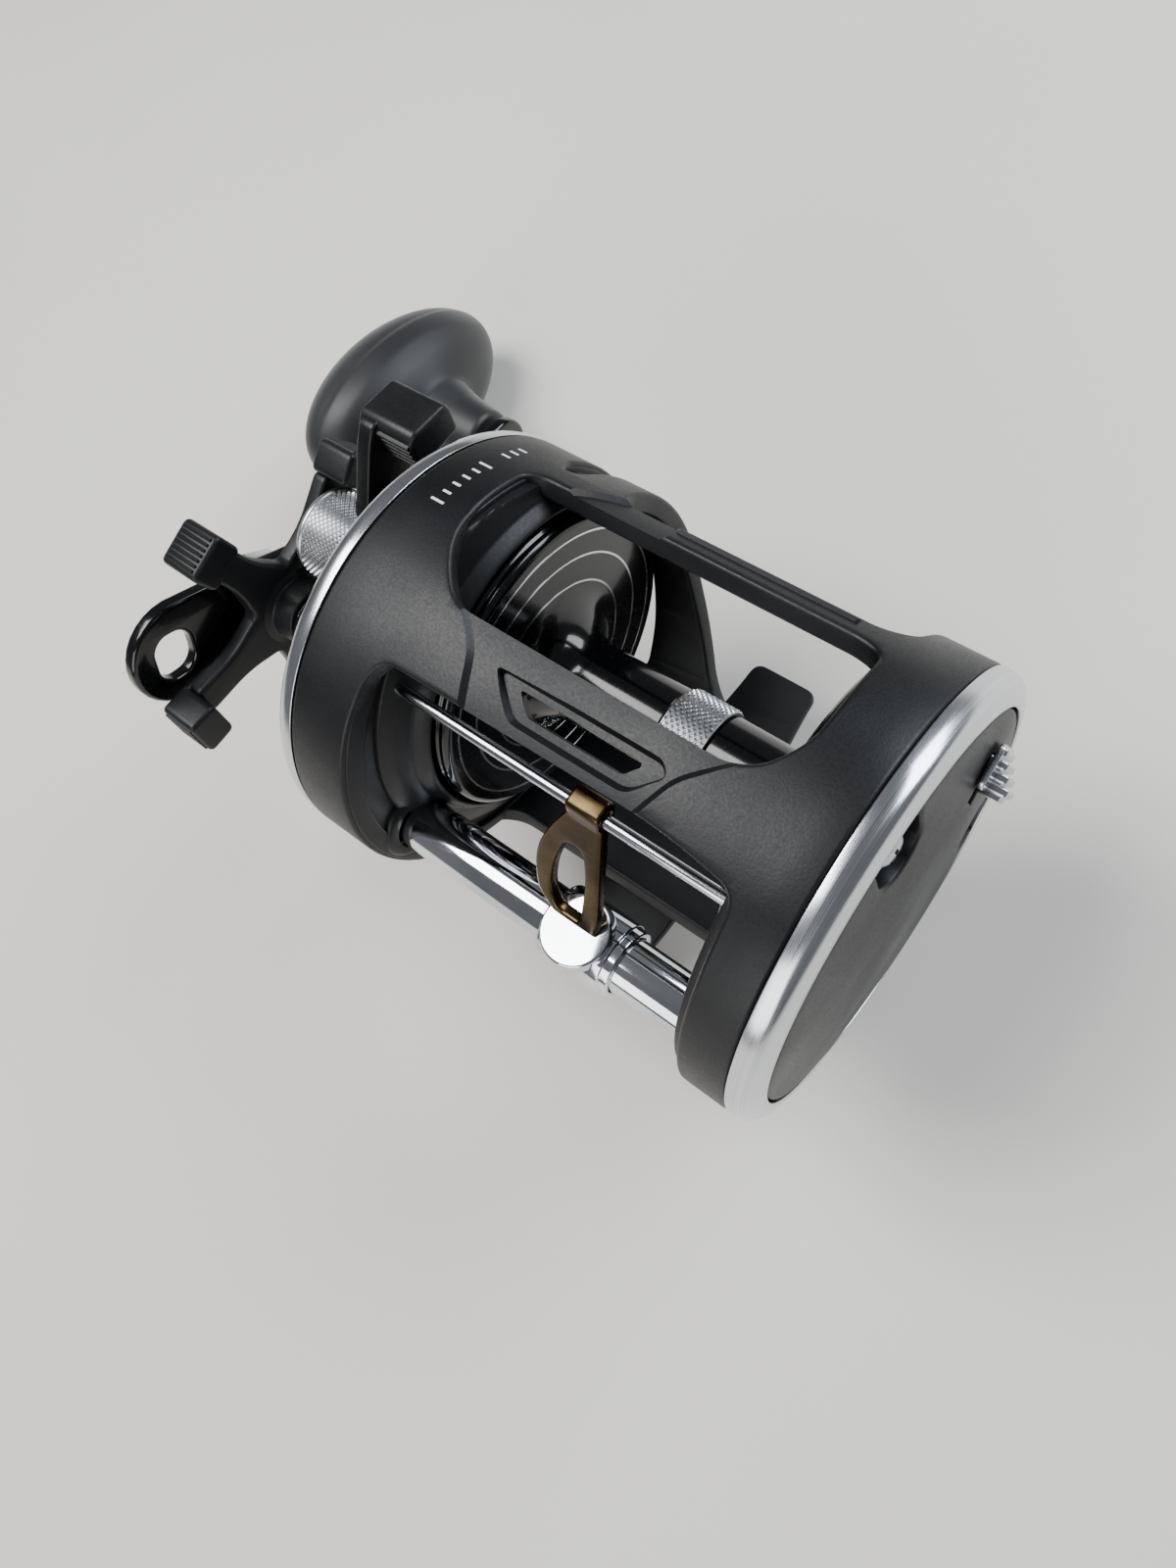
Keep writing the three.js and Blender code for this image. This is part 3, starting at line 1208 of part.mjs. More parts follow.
add('worm_shaft', wormShaft(), 'steel', windTubeY, windTubeZ);
add('worm_bush_right', sleeve(windTubeRight + 0.2, rightWallX + 1, wormJournal + turnGap,
  windTubeRadius - windTubeWall - turnGap, pieceFacets), 'nylon', windTubeY, windTubeZ);
add('worm_bush_left', sleeve(leftWallX - 1, windTubeLeft - 0.4, wormJournal + turnGap,
  windTubeRadius - windTubeWall - turnGap, pieceFacets), 'nylon', windTubeY, windTubeZ);

const carriageBore = windTubeRadius + 0.2;
const carriageRadius = 6.3;
const bossRadius = 5.7;
const bossTop = 8.1;
const bossBottom = -8.6;
const pawlRadius = 2.3;

function carriage() {
  const half = carriageLength / 2;
  const barrel = turned([
    [carriageX - half, carriageBore], [carriageX - half, carriageRadius],
    [carriageX + half, carriageRadius], [carriageX + half, carriageRadius - 0.5],
    [carriageX + half + 1.6, carriageRadius - 0.5], [carriageX + half + 1.6, carriageBore],
  ], pieceFacets);
  const boss = upright(bossRadius, carriageX, 0, bossBottom, bossTop, pieceFacets);
  const bore = rod(carriageX - 12, carriageX + 12, carriageBore, pieceFacets);
  const pawlBore = upright(pawlRadius + turnGap, carriageX, 0, bossBottom - 1, 0, smallFacets);
  return cut(join(barrel, cut(boss, bore)), pawlBore);
}

add('level_wind_carriage', carriage(), 'chrome', windTubeY, windTubeZ);

const pawlTip = -wormRadius - 0.3;
const capThreadRadius = 3.6;

function pawl() {
  const body = upright(pawlRadius, carriageX, 0, bossBottom + 0.1, -windTubeRadius - 0.4, smallFacets);
  const blade = block(carriageX - 1.6, carriageX + 1.6, -0.6, 0.6, -windTubeRadius - 0.5, pawlTip);
  return join(body, blade);
}

add('level_wind_pawl', pawl(), 'steel', windTubeY, windTubeZ);

function pawlCap() {
  const cap = upright(capThreadRadius + 1, carriageX, 0, bossBottom - 1.6, bossBottom - touchGap,
    pieceFacets);
  return cut(cap, block(carriageX - 5, carriageX + 5, -0.5, 0.5, bossBottom - 2, bossBottom - 0.8));
}

add('pawl_cap', pawlCap(), 'chrome', windTubeY, windTubeZ);

// The line guide leans from the carriage to the guide rod. Its outline is drawn in its own
// plane: across the reel, and up from its base.
function lineGuide() {
  const baseY = windTubeY + 1.4;
  const baseZ = windTubeZ + bossTop + touchGap;
  const rise = new THREE.Vector3(0, guideRodY - baseY, guideRodZ - baseZ);
  const length = rise.length();
  rise.normalize();
  const thickness = 1.9;
  const shape = new THREE.Shape();
  shape.moveTo(2.8, 1);
  shape.quadraticCurveTo(-0.6, 2.2, -0.3, 5);
  shape.quadraticCurveTo(0.2, 12, 2.6, 18);
  shape.lineTo(4.8, length - 2);
  shape.lineTo(10.2, length - 2);
  shape.lineTo(11, 12);
  shape.lineTo(12.2, 1);
  const hole = new THREE.Path();
  hole.moveTo(5, 3);
  hole.lineTo(8.8, 3);
  hole.lineTo(8.5, 14.6);
  hole.quadraticCurveTo(8, 17.2, 6.2, 17.2);
  hole.quadraticCurveTo(4.4, 17, 3.8, 12);
  hole.quadraticCurveTo(3.2, 7, 5, 3);
  shape.holes.push(hole);
  const geometry = new THREE.ExtrudeGeometry(shape, {
    depth: thickness, bevelEnabled: false, curveSegments: 5,
  });
  const normal = new THREE.Vector3(1, 0, 0).cross(rise);
  const lean = new THREE.Matrix4().makeBasis(new THREE.Vector3(1, 0, 0), rise, normal);
  geometry.translate(0, 0, -thickness / 2);
  geometry.applyMatrix4(lean);
  geometry.translate(0, baseY, baseZ);
  const head = block(4.8, 10.2, guideRodY - 2.4, guideRodY + 2.6, guideRodZ - 2.6, guideRodZ + 2.3);
  const base = block(3.4, 12.2, baseY - 2.2, baseY + 2.2, baseZ, baseZ + 2);
  return cut(join(solid(geometry), head, base),
    rod(0, 16, guideRodRadius + turnGap, screwFacets, guideRodY, guideRodZ));
}

add('line_guide', lineGuide(), 'bronze');
add('guide_rod', rod(rightWallX - plateWall + 0.2, leftWallX + plateWall - 0.2, guideRodRadius,
  16), 'steel', guideRodY, guideRodZ);

export default reel;
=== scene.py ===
"""Looks for a level-wind multiplier fishing reel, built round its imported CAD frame.

Lengths below are millimetres counted from the axis of the trim rings: x along the spool (the
handle at -x, the clicker at +x), y to the rear and z up. place() turns them into the row frame.
"""

import json
import math

import bmesh
import bpy
from mathutils import Matrix, Vector

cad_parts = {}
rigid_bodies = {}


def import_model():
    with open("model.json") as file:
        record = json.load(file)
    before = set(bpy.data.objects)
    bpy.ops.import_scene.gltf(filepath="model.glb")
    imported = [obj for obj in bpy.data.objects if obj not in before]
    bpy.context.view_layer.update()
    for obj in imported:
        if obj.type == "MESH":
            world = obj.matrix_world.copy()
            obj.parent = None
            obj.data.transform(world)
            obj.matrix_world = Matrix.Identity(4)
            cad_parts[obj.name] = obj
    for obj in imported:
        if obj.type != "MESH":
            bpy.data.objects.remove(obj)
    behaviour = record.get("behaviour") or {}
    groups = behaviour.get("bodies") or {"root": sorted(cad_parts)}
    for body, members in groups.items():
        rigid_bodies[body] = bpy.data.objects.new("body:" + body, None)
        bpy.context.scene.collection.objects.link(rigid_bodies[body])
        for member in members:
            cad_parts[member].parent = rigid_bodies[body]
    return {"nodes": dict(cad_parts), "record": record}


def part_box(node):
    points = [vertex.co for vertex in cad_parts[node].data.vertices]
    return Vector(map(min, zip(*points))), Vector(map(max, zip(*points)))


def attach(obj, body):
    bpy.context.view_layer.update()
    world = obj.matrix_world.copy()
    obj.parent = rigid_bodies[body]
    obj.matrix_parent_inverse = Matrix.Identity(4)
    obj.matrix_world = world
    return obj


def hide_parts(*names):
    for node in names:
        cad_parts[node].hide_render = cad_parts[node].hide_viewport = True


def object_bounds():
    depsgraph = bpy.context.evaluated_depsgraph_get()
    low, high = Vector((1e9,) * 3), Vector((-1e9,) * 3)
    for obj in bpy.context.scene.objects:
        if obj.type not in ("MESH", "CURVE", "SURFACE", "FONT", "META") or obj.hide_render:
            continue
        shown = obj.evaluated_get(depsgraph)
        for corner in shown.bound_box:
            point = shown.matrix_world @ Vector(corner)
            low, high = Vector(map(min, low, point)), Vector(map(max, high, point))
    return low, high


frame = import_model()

CAD_BOX = [list(corner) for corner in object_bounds()]

# ---- Places read from the frame ---------------------------------------------------------------

MM = 0.001


def centre_of(node):
    low, high = (Vector(corner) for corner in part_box(node))
    return (low + high) / (2 * MM)


ring_centre = centre_of("left_trim_ring")
ORIGIN = Vector((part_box("left_trim_ring")[0][0] / MM - 40.85, ring_centre.y, ring_centre.z))


def axis_of(node):
    """The (y, z) of a round node's own axis, counted from the ring axis."""
    middle = centre_of(node) - ORIGIN
    return (middle.y, middle.z)


RING = (0.0, 0.0)
SPOOL = axis_of("spool_knurled_band")
GEAR = axis_of("drag_spacer_sleeve")
WIND = axis_of("level_wind_tube")
ROD = axis_of("guide_rod")
KNOB = axis_of("knob_post")
LEVER = axis_of("eccentric_cam")


def place(x, y, z):
    return (Vector((x, y, z)) + ORIGIN) * MM


def polar(angle, radius, centre=RING):
    turn = math.radians(angle)
    return (centre[0] + radius * math.cos(turn), centre[1] + radius * math.sin(turn))


# ---- Camera, lights and floor -----------------------------------------------------------------

def add_camera():
    data = bpy.data.cameras.new("camera")
    data.sensor_fit = "VERTICAL"
    data.sensor_height = 36
    data.lens = 26.3
    data.clip_start = 0.005
    camera = bpy.data.objects.new("camera", data)
    back = Vector((0.393, -0.0785, 0.9165)).normalized()
    right = Vector((0.777, 0.561, -0.2856))
    right = (right - back * right.dot(back)).normalized()
    up = back.cross(right)
    turn = Matrix((right, up, back)).transposed()
    camera.matrix_world = Matrix.Translation(place(66.1, -22.8, 167.8)) @ turn.to_4x4()
    bpy.context.collection.objects.link(camera)
    bpy.context.scene.camera = camera


def add_light(name, spot, target, size, power, warmth=(1, 1, 1)):
    data = bpy.data.lights.new(name, "AREA")
    data.shape = "RECTANGLE"
    data.size, data.size_y = size
    data.energy = power
    data.color = warmth
    lamp = bpy.data.objects.new(name, data)
    lamp.location = spot
    aim = Vector(target) - Vector(spot)
    lamp.rotation_euler = aim.to_track_quat("-Z", "Y").to_euler()
    bpy.context.collection.objects.link(lamp)


add_camera()

# ---- Mesh tools -------------------------------------------------------------------------------

TURN_STEPS = 144


def eased(points, radius, steps=4, loop=True):
    """The outline with each corner rounded by about the given radius."""
    count = len(points)
    result = []
    for index, here in enumerate(points):
        if not loop and index in (0, count - 1):
            result.append(tuple(here[:2]))
            continue
        here_radius = here[2] if len(here) > 2 else radius
        corner = Vector(here[:2])
        before = Vector(points[index - 1][:2]) - corner
        after = Vector(points[(index + 1) % count][:2]) - corner
        if before.length < 1e-9 or after.length < 1e-9 or here_radius <= 0:
            result.append(tuple(corner))
            continue
        reach = min(here_radius, before.length * 0.48, after.length * 0.48)
        start = corner + before.normalized() * reach
        end = corner + after.normalized() * reach
        for step in range(steps + 1):
            t = step / steps
            spot = start * (1 - t) ** 2 + corner * 2 * t * (1 - t) + end * t ** 2
            result.append(tuple(spot))
    return result


def circle(centre, radius, steps=48):
    return [polar(360 * i / steps, radius, centre) for i in range(steps)]


def add_turned(bm, profile, centre=RING, steps=TURN_STEPS, loop=False, axis="X"):
    """Adds a closed turning about a line through centre. The profile is (along, radius)."""
    rings = []
    for along, radius in profile:
        if radius < 1e-6:
            rings.append([bm.verts.new(_turn_spot(along, 0, 0, centre, axis))])
            continue
        rings.append([bm.verts.new(_turn_spot(along, radius, 2 * math.pi * i / steps, centre, axis))
                      for i in range(steps)])
    pairs = list(zip(rings, rings[1:]))
    if loop:
        pairs.append((rings[-1], rings[0]))
    for first, second in pairs:
        for i in range(steps):
            j = (i + 1) % steps
            corners = [first[i % len(first)], first[j % len(first)], second[j % len(second)],
                       second[i % len(second)]]
            unique = list(dict.fromkeys(corners))
            if len(unique) > 2:
                bm.faces.new(unique)


def _turn_spot(along, radius, angle, centre, axis):
    a = radius * math.cos(angle)
    b = radius * math.sin(angle)
    if axis == "X":
        return place(along, centre[0] + a, centre[1] + b)
    return place(centre[0] + a, centre[1] + b, along)


def flat_plate(outline, holes, low, high, edge, steps=3):
    """A plate as a bmesh: the outlines lie in its first two axes and its thickness in the third.
    Its rims are rounded by the edge size."""
    curve = bpy.data.curves.new("outline", "CURVE")
    curve.dimensions = "2D"
    curve.fill_mode = "BOTH"
    curve.bevel_depth = edge
    curve.bevel_resolution = steps
    curve.extrude = (high - low) / 2 - edge
    curve.offset = -edge
    for points in [outline] + list(holes):
        spline = curve.splines.new("POLY")
        spline.points.add(len(points) - 1)
        for spot, (a, b) in zip(spline.points, points):
            spot.co = (a, b, 0, 1)
        spline.use_cyclic_u = True
    holder = bpy.data.objects.new("outline", curve)
    bpy.context.collection.objects.link(holder)
    made = holder.evaluated_get(bpy.context.evaluated_depsgraph_get())
    mesh = bpy.data.meshes.new_from_object(made)
    bm = bmesh.new()
    bm.from_mesh(mesh)
    bmesh.ops.remove_doubles(bm, verts=bm.verts, dist=1e-4)
    for vert in bm.verts:
        vert.co.z += (low + high) / 2
    bpy.data.objects.remove(holder)
    bpy.data.curves.remove(curve)
    bpy.data.meshes.remove(mesh)
    return bm


def slice_across(bm, axis, spots):
    """Cuts extra edges across a bmesh so that it can be bent smoothly."""
    normal = Vector([1.0 if i == axis else 0.0 for i in range(3)])
    for spot in spots:
        everything = bm.verts[:] + bm.edges[:] + bm.faces[:]
        bmesh.ops.bisect_plane(bm, geom=everything, dist=1e-5, plane_co=normal * spot,
                               plane_no=normal)


def laid_flat(bm, turn=0, centre=RING):
    """Stands a flat plate up: its first two axes become y and z, its thickness x."""
    spin = Matrix.Rotation(math.radians(turn), 2)
    for vert in bm.verts:
        spot = spin @ Vector((vert.co.x, vert.co.y))
        vert.co = place(vert.co.z, centre[0] + spot.x, centre[1] + spot.y)
    return bm


def outward(bm):
    """Turns the faces of every closed shell outward."""
    bmesh.ops.recalc_face_normals(bm, faces=bm.faces)
    seen = set()
    wrong = []
    for first in bm.faces:
        if first in seen:
            continue
        seen.add(first)
        shell = [first]
        volume = 0.0
        for face in shell:
            corners = [vert.co for vert in face.verts]
            volume += sum(corners[0].dot(a.cross(b)) for a, b in zip(corners[1:], corners[2:]))
            for edge in face.edges:
                fresh = [other for other in edge.link_faces if other not in seen]
                seen.update(fresh)
                shell.extend(fresh)
        if volume < 0:
            wrong.extend(shell)
    bmesh.ops.reverse_faces(bm, faces=wrong)


def joined(target, other):
    """Moves another bmesh's faces into the target."""
    mesh = bpy.data.meshes.new("part")
    other.to_mesh(mesh)
    other.free()
    target.from_mesh(mesh)
    bpy.data.meshes.remove(mesh)


def finished(name, bm, material, body, replaces=(), sharp=35):
    """Makes the object, with smooth faces and crisp edges, and ties it to its CAD body."""
    outward(bm)
    mesh = bpy.data.meshes.new(name)
    bm.to_mesh(mesh)
    bm.free()
    piece = bpy.data.objects.new(name, mesh)
    bpy.context.collection.objects.link(piece)
    return dressed(piece, material, body, replaces, sharp)


def dressed(piece, material, body, replaces=(), sharp=35):
    mesh = piece.data
    mesh.polygons.foreach_set("use_smooth", [True] * len(mesh.polygons))
    mesh.set_sharp_from_angle(angle=math.radians(sharp))
    mesh.materials.clear()
    mesh.materials.append(material)
    if replaces:
        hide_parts(*replaces)
    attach(piece, body)
    return piece


def cut_away(bm, *cutters):
    """The first bmesh less the cutters."""
    def as_object(part):
        outward(part)
        bmesh.ops.scale(part, vec=(1 / MM, 1 / MM, 1 / MM), verts=part.verts)
        mesh = bpy.data.meshes.new("cut")
        part.to_mesh(mesh)
        part.free()
        holder = bpy.data.objects.new("cut", mesh)
        bpy.context.collection.objects.link(holder)
        return holder
    body = as_object(bm)
    tools = [as_object(cutter) for cutter in cutters]
    for tool in tools:
        step = body.modifiers.new("cut", "BOOLEAN")
        step.operation = "DIFFERENCE"
        step.solver = "MANIFOLD"
        step.object = tool
    mesh = bpy.data.meshes.new_from_object(
        body.evaluated_get(bpy.context.evaluated_depsgraph_get()))
    result = bmesh.new()
    result.from_mesh(mesh)
    bmesh.ops.scale(result, vec=(MM, MM, MM), verts=result.verts)
    bpy.data.meshes.remove(mesh)
    for holder in [body] + tools:
        bpy.data.objects.remove(holder)
    return result


def box_bm(low, high):
    bm = bmesh.new()
    corners = [place(x, y, z) for x in (low[0], high[0]) for y in (low[1], high[1])
               for z in (low[2], high[2])]
    verts = [bm.verts.new(corner) for corner in corners]
    for face in ((0, 1, 3, 2), (4, 6, 7, 5), (0, 4, 5, 1), (2, 3, 7, 6), (0, 2, 6, 4),
                 (1, 5, 7, 3)):
        bm.faces.new([verts[i] for i in face])
    return bm


# ---- Geometry Nodes ---------------------------------------------------------------------------

def new_tree(name, inputs):
    tree = bpy.data.node_groups.new(name, "GeometryNodeTree")
    tree.interface.new_socket("Geometry", in_out="OUTPUT", socket_type="NodeSocketGeometry")
    for label, kind in inputs:
        tree.interface.new_socket(label, in_out="INPUT", socket_type="NodeSocket" + kind)
    return tree


def add_node(tree, kind, settings=None, links=None):
    """Adds a node with its settings, and links or sets its inputs by name or number."""
    node = tree.nodes.new(kind)
    for key, value in (settings or {}).items():
        setattr(node, key, value)
    for key, value in (links or {}).items():
        socket = node.inputs[key]
        if isinstance(value, bpy.types.NodeSocket):
            tree.links.new(value, socket)
        else:
            socket.default_value = value
    return node


def calc(tree, operation, *values):
    return add_node(tree, "ShaderNodeMath", {"operation": operation},
                    dict(enumerate(values))).outputs[0]


def studs_tree():
    """Copies of a stud round a cylinder that lies along x, each row half a step on."""
    tree = new_tree("studs round a cylinder", [
        ("Stud", "Object"), ("Material", "Material"), ("Around", "Int"), ("Rows", "Int"),
        ("Radius", "Float"), ("Start", "Vector"), ("Length", "Float")])
    given = add_node(tree, "NodeGroupInput").outputs
    total = calc(tree, "MULTIPLY", given["Around"], given["Rows"])
    points = add_node(tree, "GeometryNodePoints", links={"Count": total}).outputs[0]
    index = add_node(tree, "GeometryNodeInputIndex").outputs[0]
    row = calc(tree, "FLOOR", calc(tree, "DIVIDE", index, given["Around"]))
    shift = calc(tree, "MULTIPLY", calc(tree, "MODULO", row, 2.0), 0.5)
    share = calc(tree, "DIVIDE", calc(tree, "ADD", index, shift), given["Around"])
    angle = calc(tree, "MULTIPLY", share, 2 * math.pi)
    along = calc(tree, "MULTIPLY", calc(tree, "DIVIDE", calc(tree, "ADD", row, 0.5),
                                        given["Rows"]), given["Length"])
    across = calc(tree, "MULTIPLY", calc(tree, "COSINE", angle), given["Radius"])
    rise = calc(tree, "MULTIPLY", calc(tree, "SINE", angle), given["Radius"])
    offset = add_node(tree, "ShaderNodeCombineXYZ", links={0: along, 1: across, 2: rise}).outputs[0]
    spot = add_node(tree, "ShaderNodeVectorMath", {"operation": "ADD"},
                    {0: given["Start"], 1: offset}).outputs[0]
    placed = add_node(tree, "GeometryNodeSetPosition",
                      links={"Geometry": points, "Position": spot}).outputs[0]
    turn = add_node(tree, "ShaderNodeCombineXYZ", links={0: angle}).outputs[0]
    shape = add_node(tree, "GeometryNodeObjectInfo",
                     links={"Object": given["Stud"]}).outputs["Geometry"]
    copies = add_node(tree, "GeometryNodeInstanceOnPoints",
                      links={"Points": placed, "Instance": shape, "Rotation": turn}).outputs[0]
    real = add_node(tree, "GeometryNodeRealizeInstances", links={0: copies}).outputs[0]
    coloured = add_node(tree, "GeometryNodeSetMaterial",
                        links={"Geometry": real, "Material": given["Material"]}).outputs[0]
    add_node(tree, "NodeGroupOutput", links={0: coloured})
    return tree


def row_tree():
    """Copies of one shape in a straight row, all turned alike."""
    tree = new_tree("row of copies", [
        ("Shape", "Object"), ("Material", "Material"), ("Count", "Int"), ("Start", "Vector"),
        ("Step", "Vector"), ("Turn", "Vector")])
    given = add_node(tree, "NodeGroupInput").outputs
    points = add_node(tree, "GeometryNodePoints", links={"Count": given["Count"]}).outputs[0]
    index = add_node(tree, "GeometryNodeInputIndex").outputs[0]
    offset = add_node(tree, "ShaderNodeVectorMath", {"operation": "SCALE"},
                      {0: given["Step"], "Scale": index}).outputs[0]
    spot = add_node(tree, "ShaderNodeVectorMath", {"operation": "ADD"},
                    {0: given["Start"], 1: offset}).outputs[0]
    placed = add_node(tree, "GeometryNodeSetPosition",
                      links={"Geometry": points, "Position": spot}).outputs[0]
    shape = add_node(tree, "GeometryNodeObjectInfo",
                     links={"Object": given["Shape"]}).outputs["Geometry"]
    copies = add_node(tree, "GeometryNodeInstanceOnPoints",
                      links={"Points": placed, "Instance": shape,
                             "Rotation": given["Turn"]}).outputs[0]
    real = add_node(tree, "GeometryNodeRealizeInstances", links={0: copies}).outputs[0]
    coloured = add_node(tree, "GeometryNodeSetMaterial",
                        links={"Geometry": real, "Material": given["Material"]}).outputs[0]
    add_node(tree, "NodeGroupOutput", links={0: coloured})
    return tree


def grown(tree, values):
    """Runs a node tree with the given inputs and returns what it makes as a bmesh."""
    holder = bpy.data.objects.new("growing", bpy.data.meshes.new("growing"))
    bpy.context.collection.objects.link(holder)
    step = holder.modifiers.new("grow", "NODES")
    step.node_group = tree
    for item in tree.interface.items_tree:
        if item.in_out == "INPUT" and item.name in values:
            step[item.identifier] = values[item.name]
    mesh = bpy.data.meshes.new_from_object(
        holder.evaluated_get(bpy.context.evaluated_depsgraph_get()))
    result = bmesh.new()
    result.from_mesh(mesh)
    bpy.data.meshes.remove(mesh)
    bpy.data.objects.remove(holder)
    return result


def seed_shape(name, verts, faces):
    """A small shape in metres at the world's centre, for the node trees to copy."""
    mesh = bpy.data.meshes.new(name)
    mesh.from_pydata([Vector(v) * MM for v in verts], [], faces)
    shape = bpy.data.objects.new(name, mesh)
    bpy.context.collection.objects.link(shape)
    return shape


def diamond_stud(long_half, wide_half, height):
    """A low four-sided point on the +y side, its base sunk a little below the surface."""
    verts = [(long_half, 0, 0), (0, 0, wide_half), (-long_half, 0, 0), (0, 0, -wide_half),
             (0, height, 0), (long_half, -0.2, 0), (0, -0.2, wide_half), (-long_half, -0.2, 0),
             (0, -0.2, -wide_half)]
    faces = [(0, 4, 1), (1, 4, 2), (2, 4, 3), (3, 4, 0), (0, 1, 6, 5), (1, 2, 7, 6), (2, 3, 8, 7),
             (3, 0, 5, 8), (5, 6, 7, 8)]
    return seed_shape("stud", verts, faces)


def rib_shape(half_x, half_y, half_z):
    """A bar with a rounded crest on its +z side."""
    outline = [(-half_y, -half_z), (half_y, -half_z), (half_y, half_z * 0.2),
               (half_y * 0.6, half_z * 0.8), (0, half_z), (-half_y * 0.6, half_z * 0.8),
               (-half_y, half_z * 0.2)]
    count = len(outline)
    verts = [(x, y, z) for x in (-half_x, half_x) for y, z in outline]
    faces = [tuple(range(count)), tuple(reversed(range(count, 2 * count)))]
    faces += [(i, i + count, (i + 1) % count + count, (i + 1) % count) for i in range(count)]
    return seed_shape("rib", verts, faces)


STUDS = studs_tree()
ROW = row_tree()

# ---- Materials --------------------------------------------------------------------------------

def linear(hex_colour):
    """An sRGB hex colour as linear RGBA."""
    values = [int(hex_colour[i:i + 2], 16) / 255 for i in (1, 3, 5)]
    straight = [v / 12.92 if v <= 0.04045 else ((v + 0.055) / 1.055) ** 2.4 for v in values]
    return (*straight, 1.0)


def new_material(name):
    material = bpy.data.materials.new(name)
    material.use_nodes = True
    tree = material.node_tree
    tree.nodes.clear()
    shader = add_node(tree, "ShaderNodeBsdfPrincipled")
    add_node(tree, "ShaderNodeOutputMaterial", links={0: shader.outputs[0]})
    coordinates = add_node(tree, "ShaderNodeTexCoord").outputs["Object"]
    return material, tree, shader, coordinates


def noise(tree, vector, scale, detail=3.0, roughness=0.5):
    return add_node(tree, "ShaderNodeTexNoise", links={
        "Vector": vector, "Scale": scale, "Detail": detail, "Roughness": roughness}).outputs[0]


def spread(tree, value, low, high, new_low, new_high):
    return add_node(tree, "ShaderNodeMapRange", links={
        "Value": value, "From Min": low, "From Max": high, "To Min": new_low,
        "To Max": new_high}).outputs[0]


def colour_mix(tree, factor, first, second):
    node = add_node(tree, "ShaderNodeMix", {"data_type": "RGBA"})
    tree.links.new(factor, node.inputs[0])
    node.inputs[6].default_value = first
    node.inputs[7].default_value = second
    return node.outputs[2]


def bump(tree, shader, height, distance, strength=1.0):
    node = add_node(tree, "ShaderNodeBump", links={
        "Height": height, "Distance": distance * MM, "Strength": strength})
    tree.links.new(node.outputs[0], shader.inputs["Normal"])


def moulded(name, dark, light, roughness, grain, depth):
    """Moulded composite: a fine spark-eroded grain that catches light as tiny specks, slightly
    greyer where it has been handled."""
    material, tree, shader, where = new_material(name)
    handled = noise(tree, where, 45.0, 4.0)
    fine = noise(tree, where, grain, 2.0, 0.6)
    tree.links.new(colour_mix(tree, spread(tree, handled, 0.35, 0.7, 0.0, 1.0), linear(dark),
                              linear(light)), shader.inputs["Base Color"])
    wear = calc(tree, "ADD", spread(tree, handled, 0.3, 0.7, roughness - 0.07, roughness + 0.06),
                spread(tree, fine, 0.3, 0.7, -0.05, 0.05))
    tree.links.new(wear, shader.inputs["Roughness"])
    shader.inputs["Specular IOR Level"].default_value = 0.3
    bump(tree, shader, fine, depth)
    return material


def radius_from(tree, where, centre):
    """Distance from a line along x through centre, in millimetres."""
    apart = add_node(tree, "ShaderNodeSeparateXYZ", links={0: where}).outputs
    y = calc(tree, "SUBTRACT", apart[1], (centre[0] + ORIGIN.y) * MM)
    z = calc(tree, "SUBTRACT", apart[2], (centre[1] + ORIGIN.z) * MM)
    length = calc(tree, "SQRT", calc(tree, "ADD", calc(tree, "MULTIPLY", y, y),
                                     calc(tree, "MULTIPLY", z, z)))
    return calc(tree, "DIVIDE", length, MM), calc(tree, "DIVIDE", apart[0], MM)


def turned_metal(name, dark, light, roughness, centre, mark=9.0, depth=0.004):
    """Lathe-turned metal: faint rings of tool marks round its own axis, with soft smudges."""
    material, tree, shader, where = new_material(name)
    radius, along = radius_from(tree, where, centre)
    rings = add_node(tree, "ShaderNodeCombineXYZ", links={0: along, 1: radius, 2: 0.0}).outputs[0]
    marks = noise(tree, rings, mark, 4.0, 0.65)
    smudge = noise(tree, where, 70.0, 3.0)
    tree.links.new(colour_mix(tree, spread(tree, marks, 0.3, 0.7, 0.0, 1.0), linear(dark),
                              linear(light)), shader.inputs["Base Color"])
    shine = calc(tree, "ADD", spread(tree, marks, 0.3, 0.7, roughness - 0.05, roughness + 0.06),
                 spread(tree, smudge, 0.4, 0.7, 0.0, 0.07))
    tree.links.new(shine, shader.inputs["Roughness"])
    shader.inputs["Metallic"].default_value = 1.0
    bump(tree, shader, marks, depth)
    return material


def plated(name, dark, light, roughness, patch=60.0):
    """Plated or polished metal: bright, with cloudy smudges and a few hairline scratches."""
    material, tree, shader, where = new_material(name)
    cloud = noise(tree, where, patch, 4.0)
    stretched = add_node(tree, "ShaderNodeMapping",
                         links={"Vector": where, "Scale": (1.0, 1.0, 14.0)})
    scratch = noise(tree, stretched.outputs[0], 420.0, 2.0, 0.4)
    tree.links.new(colour_mix(tree, spread(tree, cloud, 0.35, 0.68, 0.0, 1.0), linear(dark),
                              linear(light)), shader.inputs["Base Color"])
    shine = calc(tree, "ADD", spread(tree, cloud, 0.35, 0.75, roughness, roughness + 0.08),
                 spread(tree, scratch, 0.62, 0.75, 0.0, 0.12))
    tree.links.new(shine, shader.inputs["Roughness"])
    shader.inputs["Metallic"].default_value = 1.0
    bump(tree, shader, scratch, 0.0015, 0.6)
    return material


